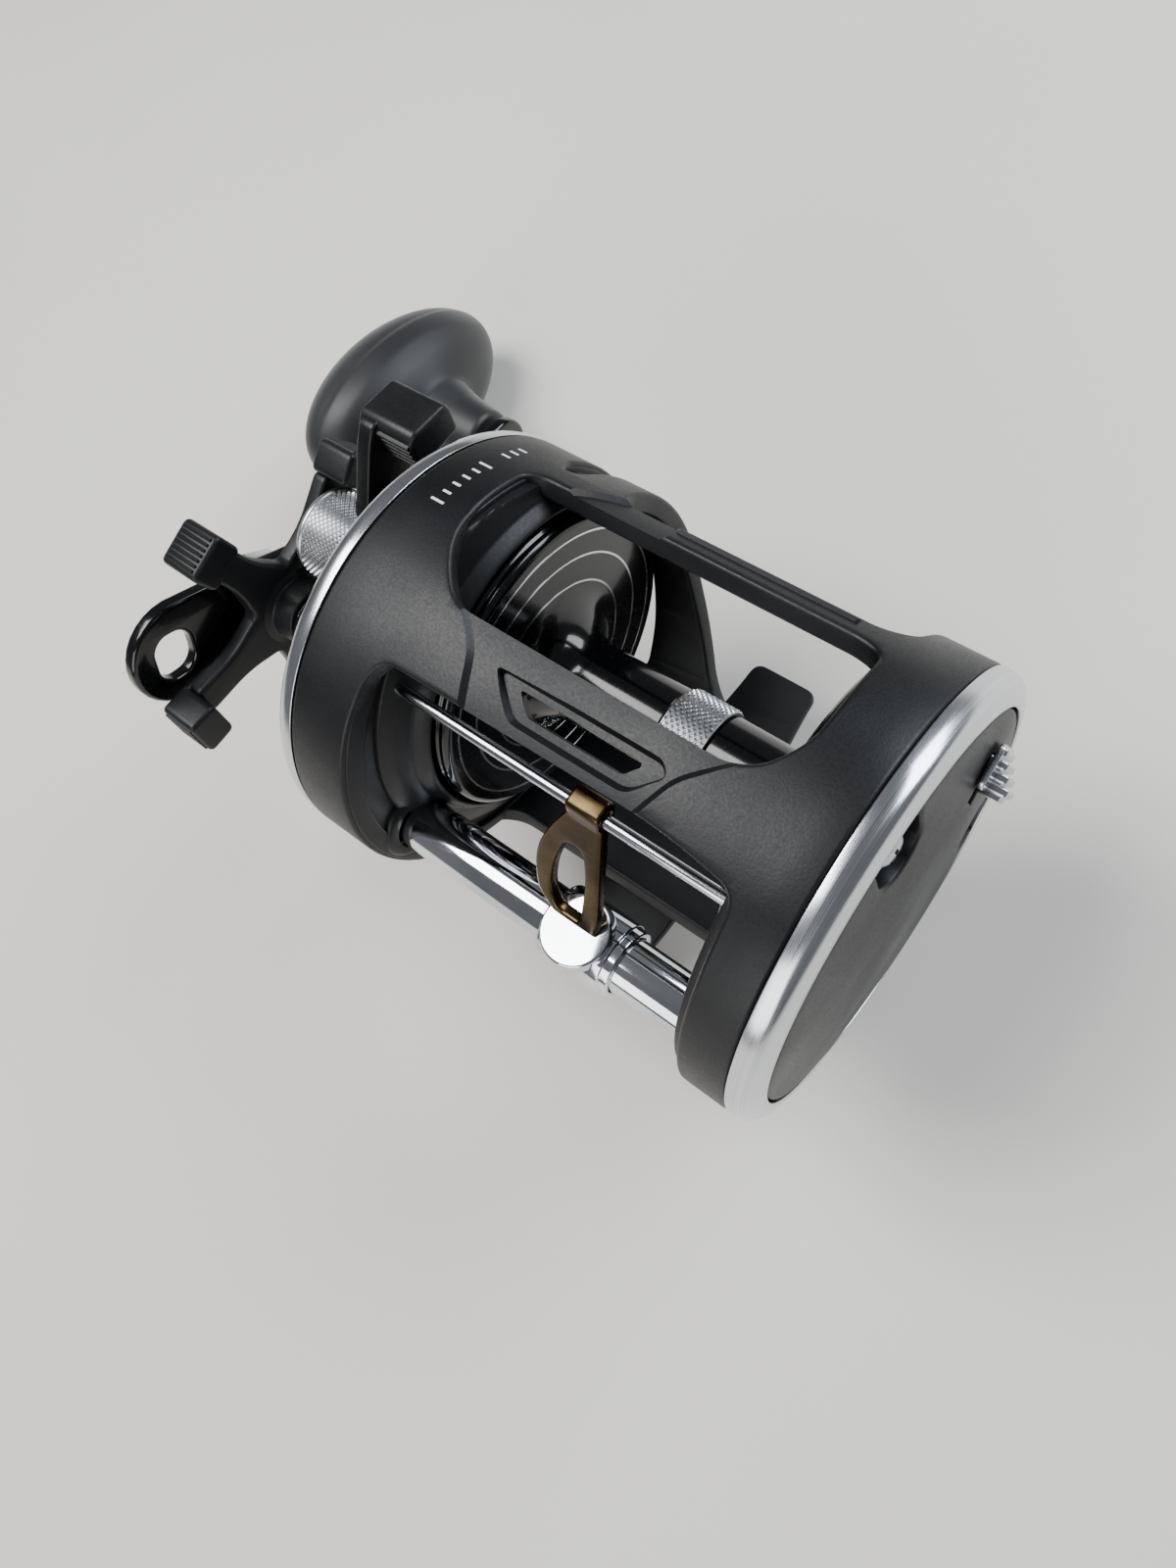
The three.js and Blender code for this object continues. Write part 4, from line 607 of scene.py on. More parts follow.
def knurled_metal(name, groove, crest):
    """Knurled aluminium: a painted highlight on the diamond crests and painted shade down in the
    grooves, set by radius; the grooves are also rougher and dull.
    """
    material, tree, shader, where = new_material(name)
    radius, _ = radius_from(tree, where, SPOOL)
    height = spread(tree, radius, groove, crest, 0.0, 1.0)
    worn = noise(tree, where, 260.0, 2.0)
    # painted light: the base colour goes from painted shade in the grooves to a painted highlight
    # on the crests, by radius, dimmed a little at random
    crest_highlight_groove_shade = calc(tree, "MULTIPLY", height, spread(tree, worn, 0.2, 0.7, 0.8, 1.0))
    tree.links.new(colour_mix(tree, crest_highlight_groove_shade, linear("#44474b"), linear("#eceef1")),
                   shader.inputs["Base Color"])
    tree.links.new(spread(tree, height, 0.0, 1.0, 0.5, 0.2), shader.inputs["Roughness"])
    shader.inputs["Metallic"].default_value = 1.0
    return material


def gloss_lacquer(name, dark, light):
    """Gloss black anodising under a clear coat: deep colour, sharp highlights, dust-fine specks."""
    material, tree, shader, where = new_material(name)
    cloud = noise(tree, where, 55.0, 3.0)
    speck = noise(tree, where, 2600.0, 1.0)
    tree.links.new(colour_mix(tree, spread(tree, cloud, 0.3, 0.7, 0.0, 1.0), linear(dark),
                              linear(light)), shader.inputs["Base Color"])
    tree.links.new(calc(tree, "ADD", spread(tree, cloud, 0.3, 0.7, 0.13, 0.2),
                        spread(tree, speck, 0.66, 0.8, 0.0, 0.25)), shader.inputs["Roughness"])
    shader.inputs["Specular IOR Level"].default_value = 0.35
    shader.inputs["Coat Weight"].default_value = 0.3
    shader.inputs["Coat Roughness"].default_value = 0.05
    bump(tree, shader, speck, 0.002, 0.3)
    return material


def soft_rubber(name, dark, light):
    """Soft-touch rubber: a velvety dark skin with a very fine grain and broad dull highlights."""
    material, tree, shader, where = new_material(name)
    cloud = noise(tree, where, 38.0, 4.0)
    grain = noise(tree, where, 3200.0, 2.0, 0.6)
    tree.links.new(colour_mix(tree, spread(tree, cloud, 0.3, 0.7, 0.0, 1.0), linear(dark),
                              linear(light)), shader.inputs["Base Color"])
    tree.links.new(spread(tree, cloud, 0.3, 0.7, 0.42, 0.55), shader.inputs["Roughness"])
    shader.inputs["Sheen Weight"].default_value = 0.25
    shader.inputs["Sheen Roughness"].default_value = 0.4
    bump(tree, shader, grain, 0.012)
    return material


def woven_carbon(name):
    """Pressed carbon cloth: a small twill of two greys."""
    material, tree, shader, where = new_material(name)
    check = add_node(tree, "ShaderNodeTexChecker", links={
        "Vector": where, "Scale": 900.0, "Color1": linear("#1d1e21"), "Color2": linear("#34363a")})
    tree.links.new(check.outputs[0], shader.inputs["Base Color"])
    tree.links.new(spread(tree, noise(tree, where, 700.0), 0.3, 0.7, 0.45, 0.65),
                   shader.inputs["Roughness"])
    return material


GRAPHITE = moulded("moulded graphite composite", "#0a0b0d", "#131417", 0.44, 2400.0, 0.02)
LEVER_BLACK = moulded("moulded black nylon", "#0c0d0f", "#17181a", 0.42, 1900.0, 0.018)
LACQUER = gloss_lacquer("gloss black anodised aluminium", "#020203", "#060709")
RUBBER = soft_rubber("soft-touch rubber", "#0d0e10", "#17181b")
TRIM = turned_metal("polished aluminium trim", "#b9bcc2", "#e6e8ec", 0.17, RING, 7.0)
BAND_KNURL = knurled_metal("knurled aluminium band", 7.6, 7.95)
CAP_KNURL = knurled_metal("knurled aluminium cap", 8.4, 8.78)
RING_LINE = plated("bright-cut aluminium", "#d9dbdf", "#f2f3f5", 0.14)
CHROME = plated("polished chrome plate", "#c9ccd2", "#eef0f3", 0.04)
BRONZE = plated("bronze-tone plate", "#2a2115", "#57482f", 0.22, 110.0)
STEEL = turned_metal("turned stainless steel", "#8f9296", "#bcbfc4", 0.26, GEAR)
ROD_STEEL = plated("ground stainless rod", "#9da1a7", "#d5d8dd", 0.12)
BRASS = plated("machined brass", "#8f7136", "#c8a65c", 0.24)
NYLON = moulded("moulded nylon", "#c4bfae", "#dcd8ca", 0.5, 1500.0, 0.012)
CARBON = woven_carbon("pressed carbon cloth")
SCREW = plated("bright zinc screw", "#a9acb2", "#d9dce0", 0.2)
MARKS = moulded("white pad-printed ink", "#c9cbcd", "#e6e7e8", 0.5, 1800.0, 0.004)

SLOT_LOOKS = {"graphite": GRAPHITE, "gloss_black": LACQUER, "soft_rubber": RUBBER, "silver": TRIM,
              "chrome": CHROME, "steel": STEEL, "bronze": BRONZE, "brass": BRASS, "nylon": NYLON,
              "carbon": CARBON}
for subpart in frame["record"]["subparts"]:
    node = frame["nodes"][subpart["node"]]
    node.data.materials.clear()
    node.data.materials.append(SLOT_LOOKS[subpart["material_slot"]])

# ---- Frame ------------------------------------------------------------------------------------

RING_R = 37.0
SKIN = 3.4
SEAM = -90.0


def on_skin(x, angle):
    """A point of the unrolled frame skin: x, and the arc length at its outside."""
    return (x, math.radians(angle) * RING_R)


def skin_outline(points, radius):
    return eased([(*on_skin(x, angle), *rest) for x, angle, *rest in points], radius, 8)


def frame_windows():
    front = [(-26.6, 109.4, 7), (20, 108.2, 6), (32.6, 111, 3), (32.8, 128, 8), (32.8, 226, 6),
             (31, 237, 7), (27, 240, 6), (-26, 240, 5), (-30.6, 235, 5), (-29.6, 222, 9),
             (-29.5, 130, 8), (-28.6, 115, 6)]
    top = [(-21.2, 90.6, 5), (23.2, 90.6, 5), (27.4, 87.4, 6), (30.6, 78.5, 8), (30.3, 60, 9),
           (30, 51.4, 5), (26.5, 49.4, 4), (-27, 49.4, 4), (-29.6, 52, 4), (-29.5, 66, 8),
           (-28.6, 77, 7), (-25.4, 84.6, 7)]
    rear_left = [(-15.6, 41.4, 3), (27, 41.4, 4), (30.8, 37, 6), (31.4, 20, 8), (31.4, -45, 8),
                 (29, -60, 7), (24, -62, 6), (1, -62, 5), (-7.6, -53, 6), (-12.6, -36, 9),
                 (-16.2, -20, 9), (-17.4, 0, 9), (-17.4, 25, 8), (-16.8, 36, 4)]
    rear_right = [(-27.6, 41.2, 2), (-25.2, 40.2, 1.6), (-24.6, 20, 8), (-24.8, -20, 8),
                  (-22.6, -42, 9), (-21.6, -56, 4), (-24.6, -60, 4), (-29, -54, 5), (-29.6, -30, 9),
                  (-29.6, 20, 9), (-29.4, 36, 4)]
    return [skin_outline(points, 5) for points in (front, top, rear_left, rear_right)]


def bent(bm):
    """Wraps a flat sheet round the ring axis: its second axis becomes arc length."""
    slice_across(bm, 1, [math.radians(SEAM + 2.5 * i) * RING_R for i in range(-1, 146)])
    for vert in bm.verts:
        angle = math.degrees(vert.co.y / RING_R)
        vert.co = place(vert.co.x, *polar(angle, RING_R + vert.co.z))
    return bm


def pocket(points, depth, draft, ease=1.5):
    """A cutter for a shallow pocket in the skin, its walls leaning out by the draft."""
    flat = [Vector(on_skin(x, angle)) for x, angle in points]
    middle = sum(flat, Vector((0, 0))) / len(flat)
    outer = []
    for index, here in enumerate(flat):
        before = (here - flat[index - 1]).normalized()
        after = (flat[(index + 1) % len(flat)] - here).normalized()
        lean = Vector((before.y + after.y, -before.x - after.x)).normalized()
        if lean.dot(here - middle) < 0:
            lean = -lean
        outer.append(here + lean * draft)
    low = eased([tuple(v) for v in flat], ease, 4)
    high = eased([tuple(v) for v in outer], ease, 4)
    bm = bmesh.new()
    rise = depth + 0.6
    top = [tuple(Vector(a) + (Vector(b) - Vector(a)) * rise / depth) for a, b in zip(low, high)]
    lower = [bm.verts.new((x, y, -depth)) for x, y in low]
    upper = [bm.verts.new((x, y, 0.6)) for x, y in top]
    bm.faces.new(lower)
    bm.faces.new(upper)
    for i in range(len(lower)):
        j = (i + 1) % len(lower)
        bm.faces.new([lower[i], lower[j], upper[j], upper[i]])
    bmesh.ops.triangulate(bm, faces=bm.faces)
    return bent(bm)


# The lower face of the bridge, between the shoulder by the handle side and the far flare.
BRIDGE_FACE = [(-12, 114), (-12.2, 109), (-15, 96.5), (-21, 88), (-27.4, 78), (-27.2, 66),
               (-24.5, 55),
               (-20.5, 47), (-14, 40.6), (-6, 40.6), (-6, 60), (6, 86), (28.2, 83.4), (21.5, 93.5),
               (18.6, 98), (15.4, 110), (15, 114)]
BRIDGE_DEPTH = 0.7
# The pocket round the bridge slot, and the slot through its floor.
SLOT_POCKET = [(-10.6, 97.6), (16, 97.2), (17.2, 99), (13.6, 105.2), (-5.4, 105.4)]
SLOT_DEPTH = 1.9
SLOT_HOLE = [(-6.6, 99.2), (13.2, 99), (13.6, 99.8), (11.8, 103.2), (-3.8, 103.4)]
# Shallow hollow along the top of the rear bar.
BAR_HOLLOW = [(-12, 46.6), (24, 46.6), (24, 43.4), (-12, 43.4)]


def build_frame_skin():
    ends = (SEAM - 4, SEAM + 364)
    outline = [on_skin(x, angle) for x, angle in
               ((-40.75, ends[0]), (40.75, ends[0]), (40.75, ends[1]), (-40.75, ends[1]))]
    bm = flat_plate(outline, frame_windows(), -SKIN / 2, SKIN / 2, 0.7)
    for angle, side in ((SEAM, -1), (SEAM + 360, 1)):
        cut = bmesh.ops.bisect_plane(
            bm, geom=bm.verts[:] + bm.edges[:] + bm.faces[:], dist=1e-4,
            plane_co=(0, math.radians(angle) * RING_R, 0), plane_no=(0, side, 0), clear_outer=True)
        rim = [part for part in cut["geom_cut"] if isinstance(part, bmesh.types.BMEdge)]
        bmesh.ops.holes_fill(bm, edges=rim, sides=0)
    for vert in bm.verts:
        vert.co.z -= SKIN / 2
    return cut_away(bent(bm), pocket(BRIDGE_FACE, BRIDGE_DEPTH, 0.9, 2.5),
                    pocket(SLOT_POCKET, SLOT_DEPTH, 1.1), pocket(SLOT_HOLE, SKIN + 1, 0.3, 0.8),
                    pocket(BAR_HOLLOW, 0.5, 0.6, 1))


def build_lip():
    """The lip round the spool opening: it runs from under the ring down to the flange's edge."""
    bm = bmesh.new()
    profile = [(-30.8, 27.9), (-30.8, 35.5), (-28.8, 35), (-27.8, 33, 1.5), (-27.1, 31, 1),
               (-26.8, 30, 0.5), (-25.2, 29, 0.8), (-24.6, 28.4, 0.4), (-24.6, 27.9)]
    add_turned(bm, eased(profile, 0.3, 5), SPOOL, 160, loop=True)
    for vert in bm.verts:
        spot = vert.co / MM - ORIGIN
        away = math.hypot(spot.y, spot.z)
        if away > 35.6:
            vert.co = place(spot.x, spot.y * 35.6 / away, spot.z * 35.6 / away)
    return bm


def build_frame():
    bm = build_frame_skin()
    wall_holes = [circle(SPOOL, 27.9, 96), circle(WIND, 5, 40), circle(ROD, 1.15, 20)]
    joined(bm, laid_flat(flat_plate(circle(RING, 35.4, 120), wall_holes, -31.3, -29.5, 0.3)))
    joined(bm, build_lip())
    add_turned(bm, eased([(-29.9, 33.2), (-29.9, 36.3), (-29.2, 36.3), (-28.7, 33.2)], 0.5), RING,
               loop=True)
    joined(bm, laid_flat(flat_plate(circle(RING, 35.4, 120), [circle(SPOOL, 2.4, 24),
                                    circle(WIND, 5, 40), circle(ROD, 1.15, 20)], 31.4, 33.2, 0.3)))
    add_turned(bm, eased([(31.4, 5), (30.6, 5), (30.6, 7.4, 1), (32, 7.8)], 0.3), WIND, loop=True)
    add_turned(bm, eased([(-29.5, 5), (-28.2, 5), (-28.2, 7, 1), (-30, 7.6)], 0.3), WIND, loop=True)
    saddle = [(-17, -42, 0.4), (17, -42, 0.4), (14.2, -33.4, 2), (-14.2, -33.4, 2)]
    joined(bm, laid_flat(flat_plate(eased(saddle, 1.5), [], -10.5, 6.5, 0.9)))
    return bm


finished("frame_shell", build_frame(), GRAPHITE, "frame_body", ["frame"], 28)


def build_foot():
    half = 33.75
    outline = [(-7, half, 3), (-7.2, half - 5, 4), (-8.5, 16, 6), (-8.5, -16, 6),
               (-7.2, -half + 5, 4), (-7, -half, 3), (7, -half, 3), (7.2, -half + 5, 4),
               (8.5, -16, 6), (8.5, 16, 6), (7.2, half - 5, 4), (7, half, 3)]
    bm = flat_plate(eased([(x - 2, y, r) for x, y, r in outline], 3, 6), [], -44.5, -42.1, 0.35)
    slice_across(bm, 1, [side * y for side in (-1, 1) for y in (18.5, 22, 26, 30)])
    for vert in bm.verts:
        beyond = max(0.0, abs(vert.co.y) - 18.5)
        drop = 0.9 * beyond / (half - 18.5)
        if vert.co.z > -43.3:
            vert.co.z -= drop
        vert.co = place(*vert.co)
    return bm


finished("foot_plate", build_foot(), GRAPHITE, "frame_body", ["reel_foot"], 40)

# ---- Trim rings and side covers ---------------------------------------------------------------

TRIM_SECTION = [(0.1, 32.7, 0.1), (0.1, 37, 0.15), (1.9, 37, 1.2), (3.5, 36.2, 1.6),
                (4.25, 33.8, 0.5),
                (4.25, 32.7, 0.2)]
for name, edge, out in (("left_trim_ring", 40.75, 1), ("right_trim_ring", -40.75, -1)):
    ring = bmesh.new()
    section = eased([(edge + out * x, r, e) for x, r, e in TRIM_SECTION], 0.3, 6)
    add_turned(ring, section, RING, 180, loop=True)
    finished(name + "_polished", ring, TRIM, "frame_body", [name], 30)

SCREW_ANGLES = (85, -40)
SCREW_CIRCLE = 26.6
BUTTON_ANGLE = 15.9
BUTTON_REACH = 18.3


def cover_outline():
    """The left cover's rim, broken by the two screw notches."""
    radius = 32.4
    notch = 4.8
    points = []
    opening = math.degrees(math.asin(notch / radius))
    for angle in sorted(a % 360 for a in SCREW_ANGLES):
        points.append(angle)
    rim = []
    step = 0
    while step < 360:
        near = min(points, key=lambda a: abs(step - a))
        if abs(step - near) < opening + 3.5:
            side = math.radians(near)
            out = Vector((math.cos(side), math.sin(side)))
            across = Vector((-out.y, out.x))
            lip = radius * math.cos(math.radians(opening + 2.6))
            for share in (-3.6, -2.0, -0.8):
                turn = math.radians(near + share - opening)
                rim.append((radius * math.cos(turn), radius * math.sin(turn)))
            for out_by, side_by in ((lip - 0.6, -notch - 0.25), (lip - 2, -notch)):
                rim.append(tuple(out * out_by + across * side_by))
            for turn in range(-90, -271, -15):
                swing = math.radians(turn)
                rim.append(tuple(out * (SCREW_CIRCLE + notch * math.cos(swing))
                                 + across * (notch * math.sin(swing))))
            for out_by, side_by in ((lip - 2, notch), (lip - 0.6, notch + 0.25)):
                rim.append(tuple(out * out_by + across * side_by))
            for share in (0.8, 2.0, 3.6):
                turn = math.radians(near + share + opening)
                rim.append((radius * math.cos(turn), radius * math.sin(turn)))
            step = near + opening + 6
        else:
            rim.append((radius * math.cos(math.radians(step)),
                        radius * math.sin(math.radians(step))))
            step += 2.5
    return rim


def build_left_cover():
    low, high = 42.2, 44.9
    slot = []
    for reach, side in ((-5.9, -1.9), (1.9, -1.9), (1.9, 1.9), (-5.9, 1.9)):
        y, z = polar(BUTTON_ANGLE, BUTTON_REACH + reach, SPOOL)
        shift = polar(BUTTON_ANGLE + 90, side)
        slot.append((y + shift[0], z + shift[1]))
    bm = flat_plate(cover_outline(), [slot], low, high, 0.6, 4)
    grid = [3.0 * i for i in range(-10, 11)]
    slice_across(bm, 0, grid)
    slice_across(bm, 1, grid)
    for vert in bm.verts:
        radius = math.hypot(vert.co.x, vert.co.y)
        if vert.co.z > (low + high) / 2:
            vert.co.z += 1.3 * max(0.0, 1 - (radius / 32.4) ** 2)
    laid_flat(bm)
    add_turned(bm, eased([(42.9, 0, 0), (42.9, 32.3, 0.3), (40.9, 32.3, 0.2), (40.9, 30.4, 0.2),
                          (41.2, 30.4), (41.2, 0, 0)], 0.2, 3, loop=False), RING, 120)
    return bm


finished("left_cover_dome", build_left_cover(), GRAPHITE, "frame_body", ["left_cover"],
         32)


def screw_head(x, out, radius, height, centre, shank, shank_end):
    """A pan head with a cross recess."""
    bm = bmesh.new()
    profile = [(shank_end, 0, 0), (shank_end, shank, 0.1), (x, shank, 0), (x, radius, 0.2),
               (x + out * height * 0.45, radius, 0.3), (x + out * height * 0.9, radius * 0.62, 0.6),
               (x + out * height, 0, 0)]
    add_turned(bm, eased(profile, 0.2, 4, loop=False), centre, 40)
    reach = radius * 0.58
    half = radius * 0.13
    floor = x + out * height * 0.35
    top = x + out * (height + 1)
    low, high = min(floor, top), max(floor, top)
    y, z = centre
    return cut_away(bm, box_bm((low, y - reach, z - half), (high, y + reach, z + half)),
                    box_bm((low, y - half, z - reach), (high, y + half, z + reach)))


for index, angle in enumerate(SCREW_ANGLES):
    finished(f"cover_screw_{index + 1}_cross",
             screw_head(43.1, 1, 2.6, 1.7, polar(angle, SCREW_CIRCLE), 1.4, 36), SCREW,
             "frame_body", [f"left_cover_screw_{index + 1}"], 30)
for index in range(3):
    node = f"handle_side_screw_{index + 1}"
    finished(node + "_cross", screw_head(-43, -1, 1.1, 0.9, axis_of(node), 0.7, -36), STEEL,
             "frame_body", [node], 30)


def build_button():
    """The clicker: a pad with stepped ribs that stand across its travel."""
    bm = bmesh.new()
    base = 45.9
    pad = [(-3.4, -5.6), (3.6, -5.6), (3.6, 5.6), (-3.4, 5.6)]
    joined(bm, flat_plate(eased([(BUTTON_REACH + a, b) for a, b in pad], 1.4), [], base, base + 1,
                          0.3))
    for step, height in enumerate((1.5, 2.4, 3.3, 4.1)):
        near = BUTTON_REACH + 2.6 - step * 1.6
        half = 5.3 - step * 0.4
        rib = [(near - 0.8, -half), (near + 0.62, -half), (near + 0.62, half), (near - 0.8, half)]
        joined(bm, flat_plate(eased(rib, 0.5), [], base + 0.4, base + height, 0.55, 4))
        core = [(near - 1.7, -half + 0.6), (near - 0.3, -half + 0.6), (near - 0.3, half - 0.6),
                (near - 1.7, half - 0.6)]
        joined(bm, flat_plate(eased(core, 0.2), [], base + 0.4, base + height - 0.7, 0.1, 2))
    stem = [(BUTTON_REACH - 1.6, -1.6), (BUTTON_REACH + 1.6, -1.6), (BUTTON_REACH + 1.6, 1.6),
            (BUTTON_REACH - 1.6, 1.6)]
    joined(bm, flat_plate(eased(stem, 0.3), [], 41.4, base + 0.5, 0.1, 2))
    return laid_flat(bm, BUTTON_ANGLE, SPOOL)


finished("clicker_button_ribbed", build_button(), TRIM, "clicker_body", ["clicker_button"],
         30)

# ---- Spool ------------------------------------------------------------------------------------

def build_spool():
    bm = bmesh.new()
    profile = [(-30.4, 25.5), (-30.4, 27.1, 0.3), (-24.6, 27.1, 0.4), (-24.1, 26.7, 0.3),
               (-23.3, 27.1, 0.4), (-22.4, 26.2, 0.6), (-22.4, 12.6, 3.5), (-19.6, 8.6, 3.2),
               (-16.4, 7.2, 2.5), (1.2, 7.2), (1.2, 6.4), (9.8, 6.4), (9.8, 7.2), (21.6, 7.2, 2.5),
               (24.6, 8.6, 3.2), (27.2, 12.6, 3.5), (27.2, 26.2, 0.6), (28, 27.1, 0.4),
               (30.8, 27.1, 0.3), (30.8, 25.5), (29.4, 25.5), (29.4, 1.55), (-24.6, 1.55),
               (-24.6, 25.5)]
    add_turned(bm, eased(profile, 0.25, 5), SPOOL, 160, loop=True)
    return bm


finished("spool_turned", build_spool(), LACQUER, "spool_body", ["spool"], 30)

rings = bmesh.new()
for face_x, out in ((-22.4, 1), (27.2, -1)):
    for radius in (24.2, 20.1, 15.3):
        half = 0.17
        add_turned(rings, [(face_x - out * 0.1, radius - half),
                           (face_x + out * 0.05, radius - half),
                           (face_x + out * 0.05, radius + half),
                           (face_x - out * 0.1, radius + half)],
                   SPOOL, 128, loop=True)
finished("spool_bright_rings", rings, RING_LINE, "spool_body")

band = bmesh.new()
add_turned(band, eased([(1.4, 6.6), (1.4, 7.7, 0.2), (9.6, 7.7, 0.2), (9.6, 6.6)], 0.15), SPOOL, 96,
           loop=True)
joined(band, grown(STUDS, {
    "Stud": diamond_stud(0.55, 0.6, 0.42), "Material": BAND_KNURL, "Around": 40, "Rows": 14,
    "Radius": 7.6 * MM, "Start": place(1.7, *SPOOL), "Length": 7.6 * MM}))
finished("spool_band_knurled", band, BAND_KNURL, "spool_body", ["spool_knurled_band"], 20)

# ---- Handle-side cover ------------------------------------------------------------------------

def build_handle_cover():
    bm = bmesh.new()
    shell = [(-40.85, 30.4), (-40.85, 32.4), (-45.05, 32, 1.5), (-48.85, 28.4, 3),
             (-52.45, 23.4, 4),
             (-56, 17.4, 2.5), (-56, 0, 0)]
    inner = [(-54, 0, 0), (-54, 16.4, 2), (-51, 21.8, 2), (-47.6, 26.4, 2), (-44.2, 29.6, 1)]
    add_turned(bm, eased(inner + shell, 0.3, 4, loop=False), RING, 120)
    cap_boss = [(-53, 0, 0), (-53, 9.6, 1), (-56.2, 9.2, 1), (-64.2, 8.6, 0.8), (-64.2, 6.2, 0.3),
                (-71.8, 6.2, 0.3), (-71.8, 0, 0)]
    add_turned(bm, eased(cap_boss, 0.4, 4, loop=False), SPOOL, 64)
    lever_boss = [(-55, 0, 0), (-55, 4.8), (-59.4, 4.4, 0.6), (-59.4, 0, 0)]
    add_turned(bm, eased(lever_boss, 0.4, 4, loop=False), LEVER, 48)
    boss = bmesh.new()
    gear_boss = [(-54.4, 0, 0), (-54.4, 12, 1), (-57.4, 10.4, 3), (-63, 9.8, 1), (-70.6, 9, 1.4),
                 (-71.5, 7.4, 0.5), (-71.5, 4.9, 0.2), (-70.6, 4.9, 0.2), (-70.6, 0, 0)]
    add_turned(boss, eased(gear_boss, 0.4, 5, loop=False), GEAR, 96)
    room = bmesh.new()
    add_turned(room, [(-80, 0), (-80, 9.2), (-64.2, 9.2), (-64.2, 0)], SPOOL, 96)
    joined(bm, cut_away(boss, room))
    return bm


finished("handle_cover_moulded", build_handle_cover(), GRAPHITE, "frame_body",
         ["handle_side_cover"], 35)


def build_cap():
    bm = bmesh.new()
    profile = [(-64.4, 6.35), (-64.4, 8.1, 0.3), (-65.4, 8.8, 0.3), (-66, 8.5, 0.15),
               (-76, 8.5, 0.15), (-76.6, 8.8, 0.3), (-77.6, 8.3, 0.6), (-78.4, 7, 0.9),
               (-78.4, 0, 0)]
    inside = [(-75.8, 0, 0), (-75.8, 6.35)]
    add_turned(bm, eased(inside + profile, 0.2, 5, loop=False), SPOOL, 96)
    joined(bm, grown(STUDS, {
        "Stud": diamond_stud(0.56, 0.6, 0.42), "Material": CAP_KNURL, "Around": 46, "Rows": 18,
        "Radius": 8.45 * MM, "Start": place(-76, *SPOOL), "Length": 10 * MM}))
    return bm


finished("cast_cap_knurled", build_cap(), CAP_KNURL, "cast_cap_body", ["cast_control_cap"],
         20)

# ---- Lever ------------------------------------------------------------------------------------

def build_lever():
    bm = bmesh.new()
    pivot_y, pivot_z = LEVER
    add_turned(bm, eased([(-63, 0, 0), (-63, 4.4, 0.6), (-59.5, 4.4, 0.3), (-59.5, 1.9),
                          (-42.6, 1.9), (-42.6, 0, 0)], 0.2, 4, loop=False), LEVER, 48)
    grip_y, grip_z = 23.6, 22.8
    stalk = [(pivot_y - 3.4, pivot_z + 2.8, 2), (grip_y - 7.4, grip_z + 2, 4),
             (grip_y - 4.6, grip_z + 4.4, 1), (grip_y + 4.2, grip_z + 1.4, 1),
             (grip_y + 3.4, grip_z - 3.4, 1.5), (pivot_y + 4.2, pivot_z - 1.8, 3)]
    joined(bm, laid_flat(flat_plate(eased(stalk, 1.5, 5), [], -62.7, -59.5, 0.5)))
    grip = [(grip_y - 5.2, grip_z - 2.2, 1), (grip_y - 4.6, grip_z + 3.2, 0.8),
            (grip_y - 2.8, grip_z + 4.4, 0.8), (grip_y + 4.4, grip_z + 2.6, 0.8),
            (grip_y + 5, grip_z + 1.2, 0.8), (grip_y + 4.2, grip_z - 3.6, 1)]
    joined(bm, laid_flat(flat_plate(eased(grip, 0.8, 5), [], -63.9, -51.9, 0.7)))
    joined(bm, grown(ROW, {
        "Shape": rib_shape(5.4, 0.36, 0.55), "Material": LEVER_BLACK, "Count": 5,
        "Start": place(-57.9, grip_y - 5.05, grip_z - 1.6), "Step": Vector((0, 0.12, 1.1)) * MM,
        "Turn": (math.radians(90), 0, 0)}))
    return bm


finished("lever_moulded", build_lever(), LEVER_BLACK, "lever_body", ["free_spool_lever"],
         35)

# ---- Star drag --------------------------------------------------------------------------------

STAR_TURN = 25.7


def build_star():
    bm = bmesh.new()
    add_turned(bm, eased([(-74, 3.15), (-74, 6, 0.4), (-78.6, 6.4, 0.4), (-79.4, 8.4, 0.8),
                          (-82.6, 8.6, 0.8), (-83.2, 7, 0.5), (-83.2, 3.15)], 0.3), GEAR, 64,
                          loop=True)
    outline = []
    for arm in range(5):
        angle = STAR_TURN + 72 * arm
        for out, side, ease, ahead in (
                (25.4, -3.2, 1.5, 0), (25.4, 3.2, 1.5, 0), (15, 3.1, 6, 0), (8.4, 5.4, 5, 0),
                (8.4, -5.4, 5, 72), (15, -3.1, 6, 72)):
            turn = math.radians(angle + ahead)
            outline.append((out * math.cos(turn) - side * math.sin(turn),
                            out * math.sin(turn) + side * math.cos(turn), ease))
    joined(bm, laid_flat(flat_plate(eased(outline, 3, 6), [circle(RING, 5, 32)], -82.6, -79.2, 0.8,
                                    4),
                         0, GEAR))
    tip = [(25.2, -4.2, 1.4), (31.4, -4.4, 1.4), (31.4, 4.4, 1.4), (25.2, 4.2, 1.4)]
    for arm in range(5):
        block = flat_plate(eased(tip, 1.2, 5), [], -82.6, -74.0, 0.8, 4)
        joined(bm, laid_flat(block, STAR_TURN + 72 * arm, GEAR))
        turn = math.radians(STAR_TURN + 72 * arm)
        out = Vector((0, math.cos(turn), math.sin(turn)))
        across = Vector((0, -out.z, out.y))
        start = Vector((-78.3, *GEAR)) + out * 31.4 - across * 3.0
        joined(bm, grown(ROW, {
            "Shape": rib_shape(3.4, 0.3, 0.34), "Material": LEVER_BLACK, "Count": 7,
            "Start": place(*start), "Step": across * MM, "Turn": (turn - math.pi / 2, 0, 0)}))
    return bm


finished("star_moulded", build_star(), LEVER_BLACK, "star_body", ["star_drag_wheel"],
         35)

# ---- Handle -----------------------------------------------------------------------------------

HANDLE_TURN = -30.0


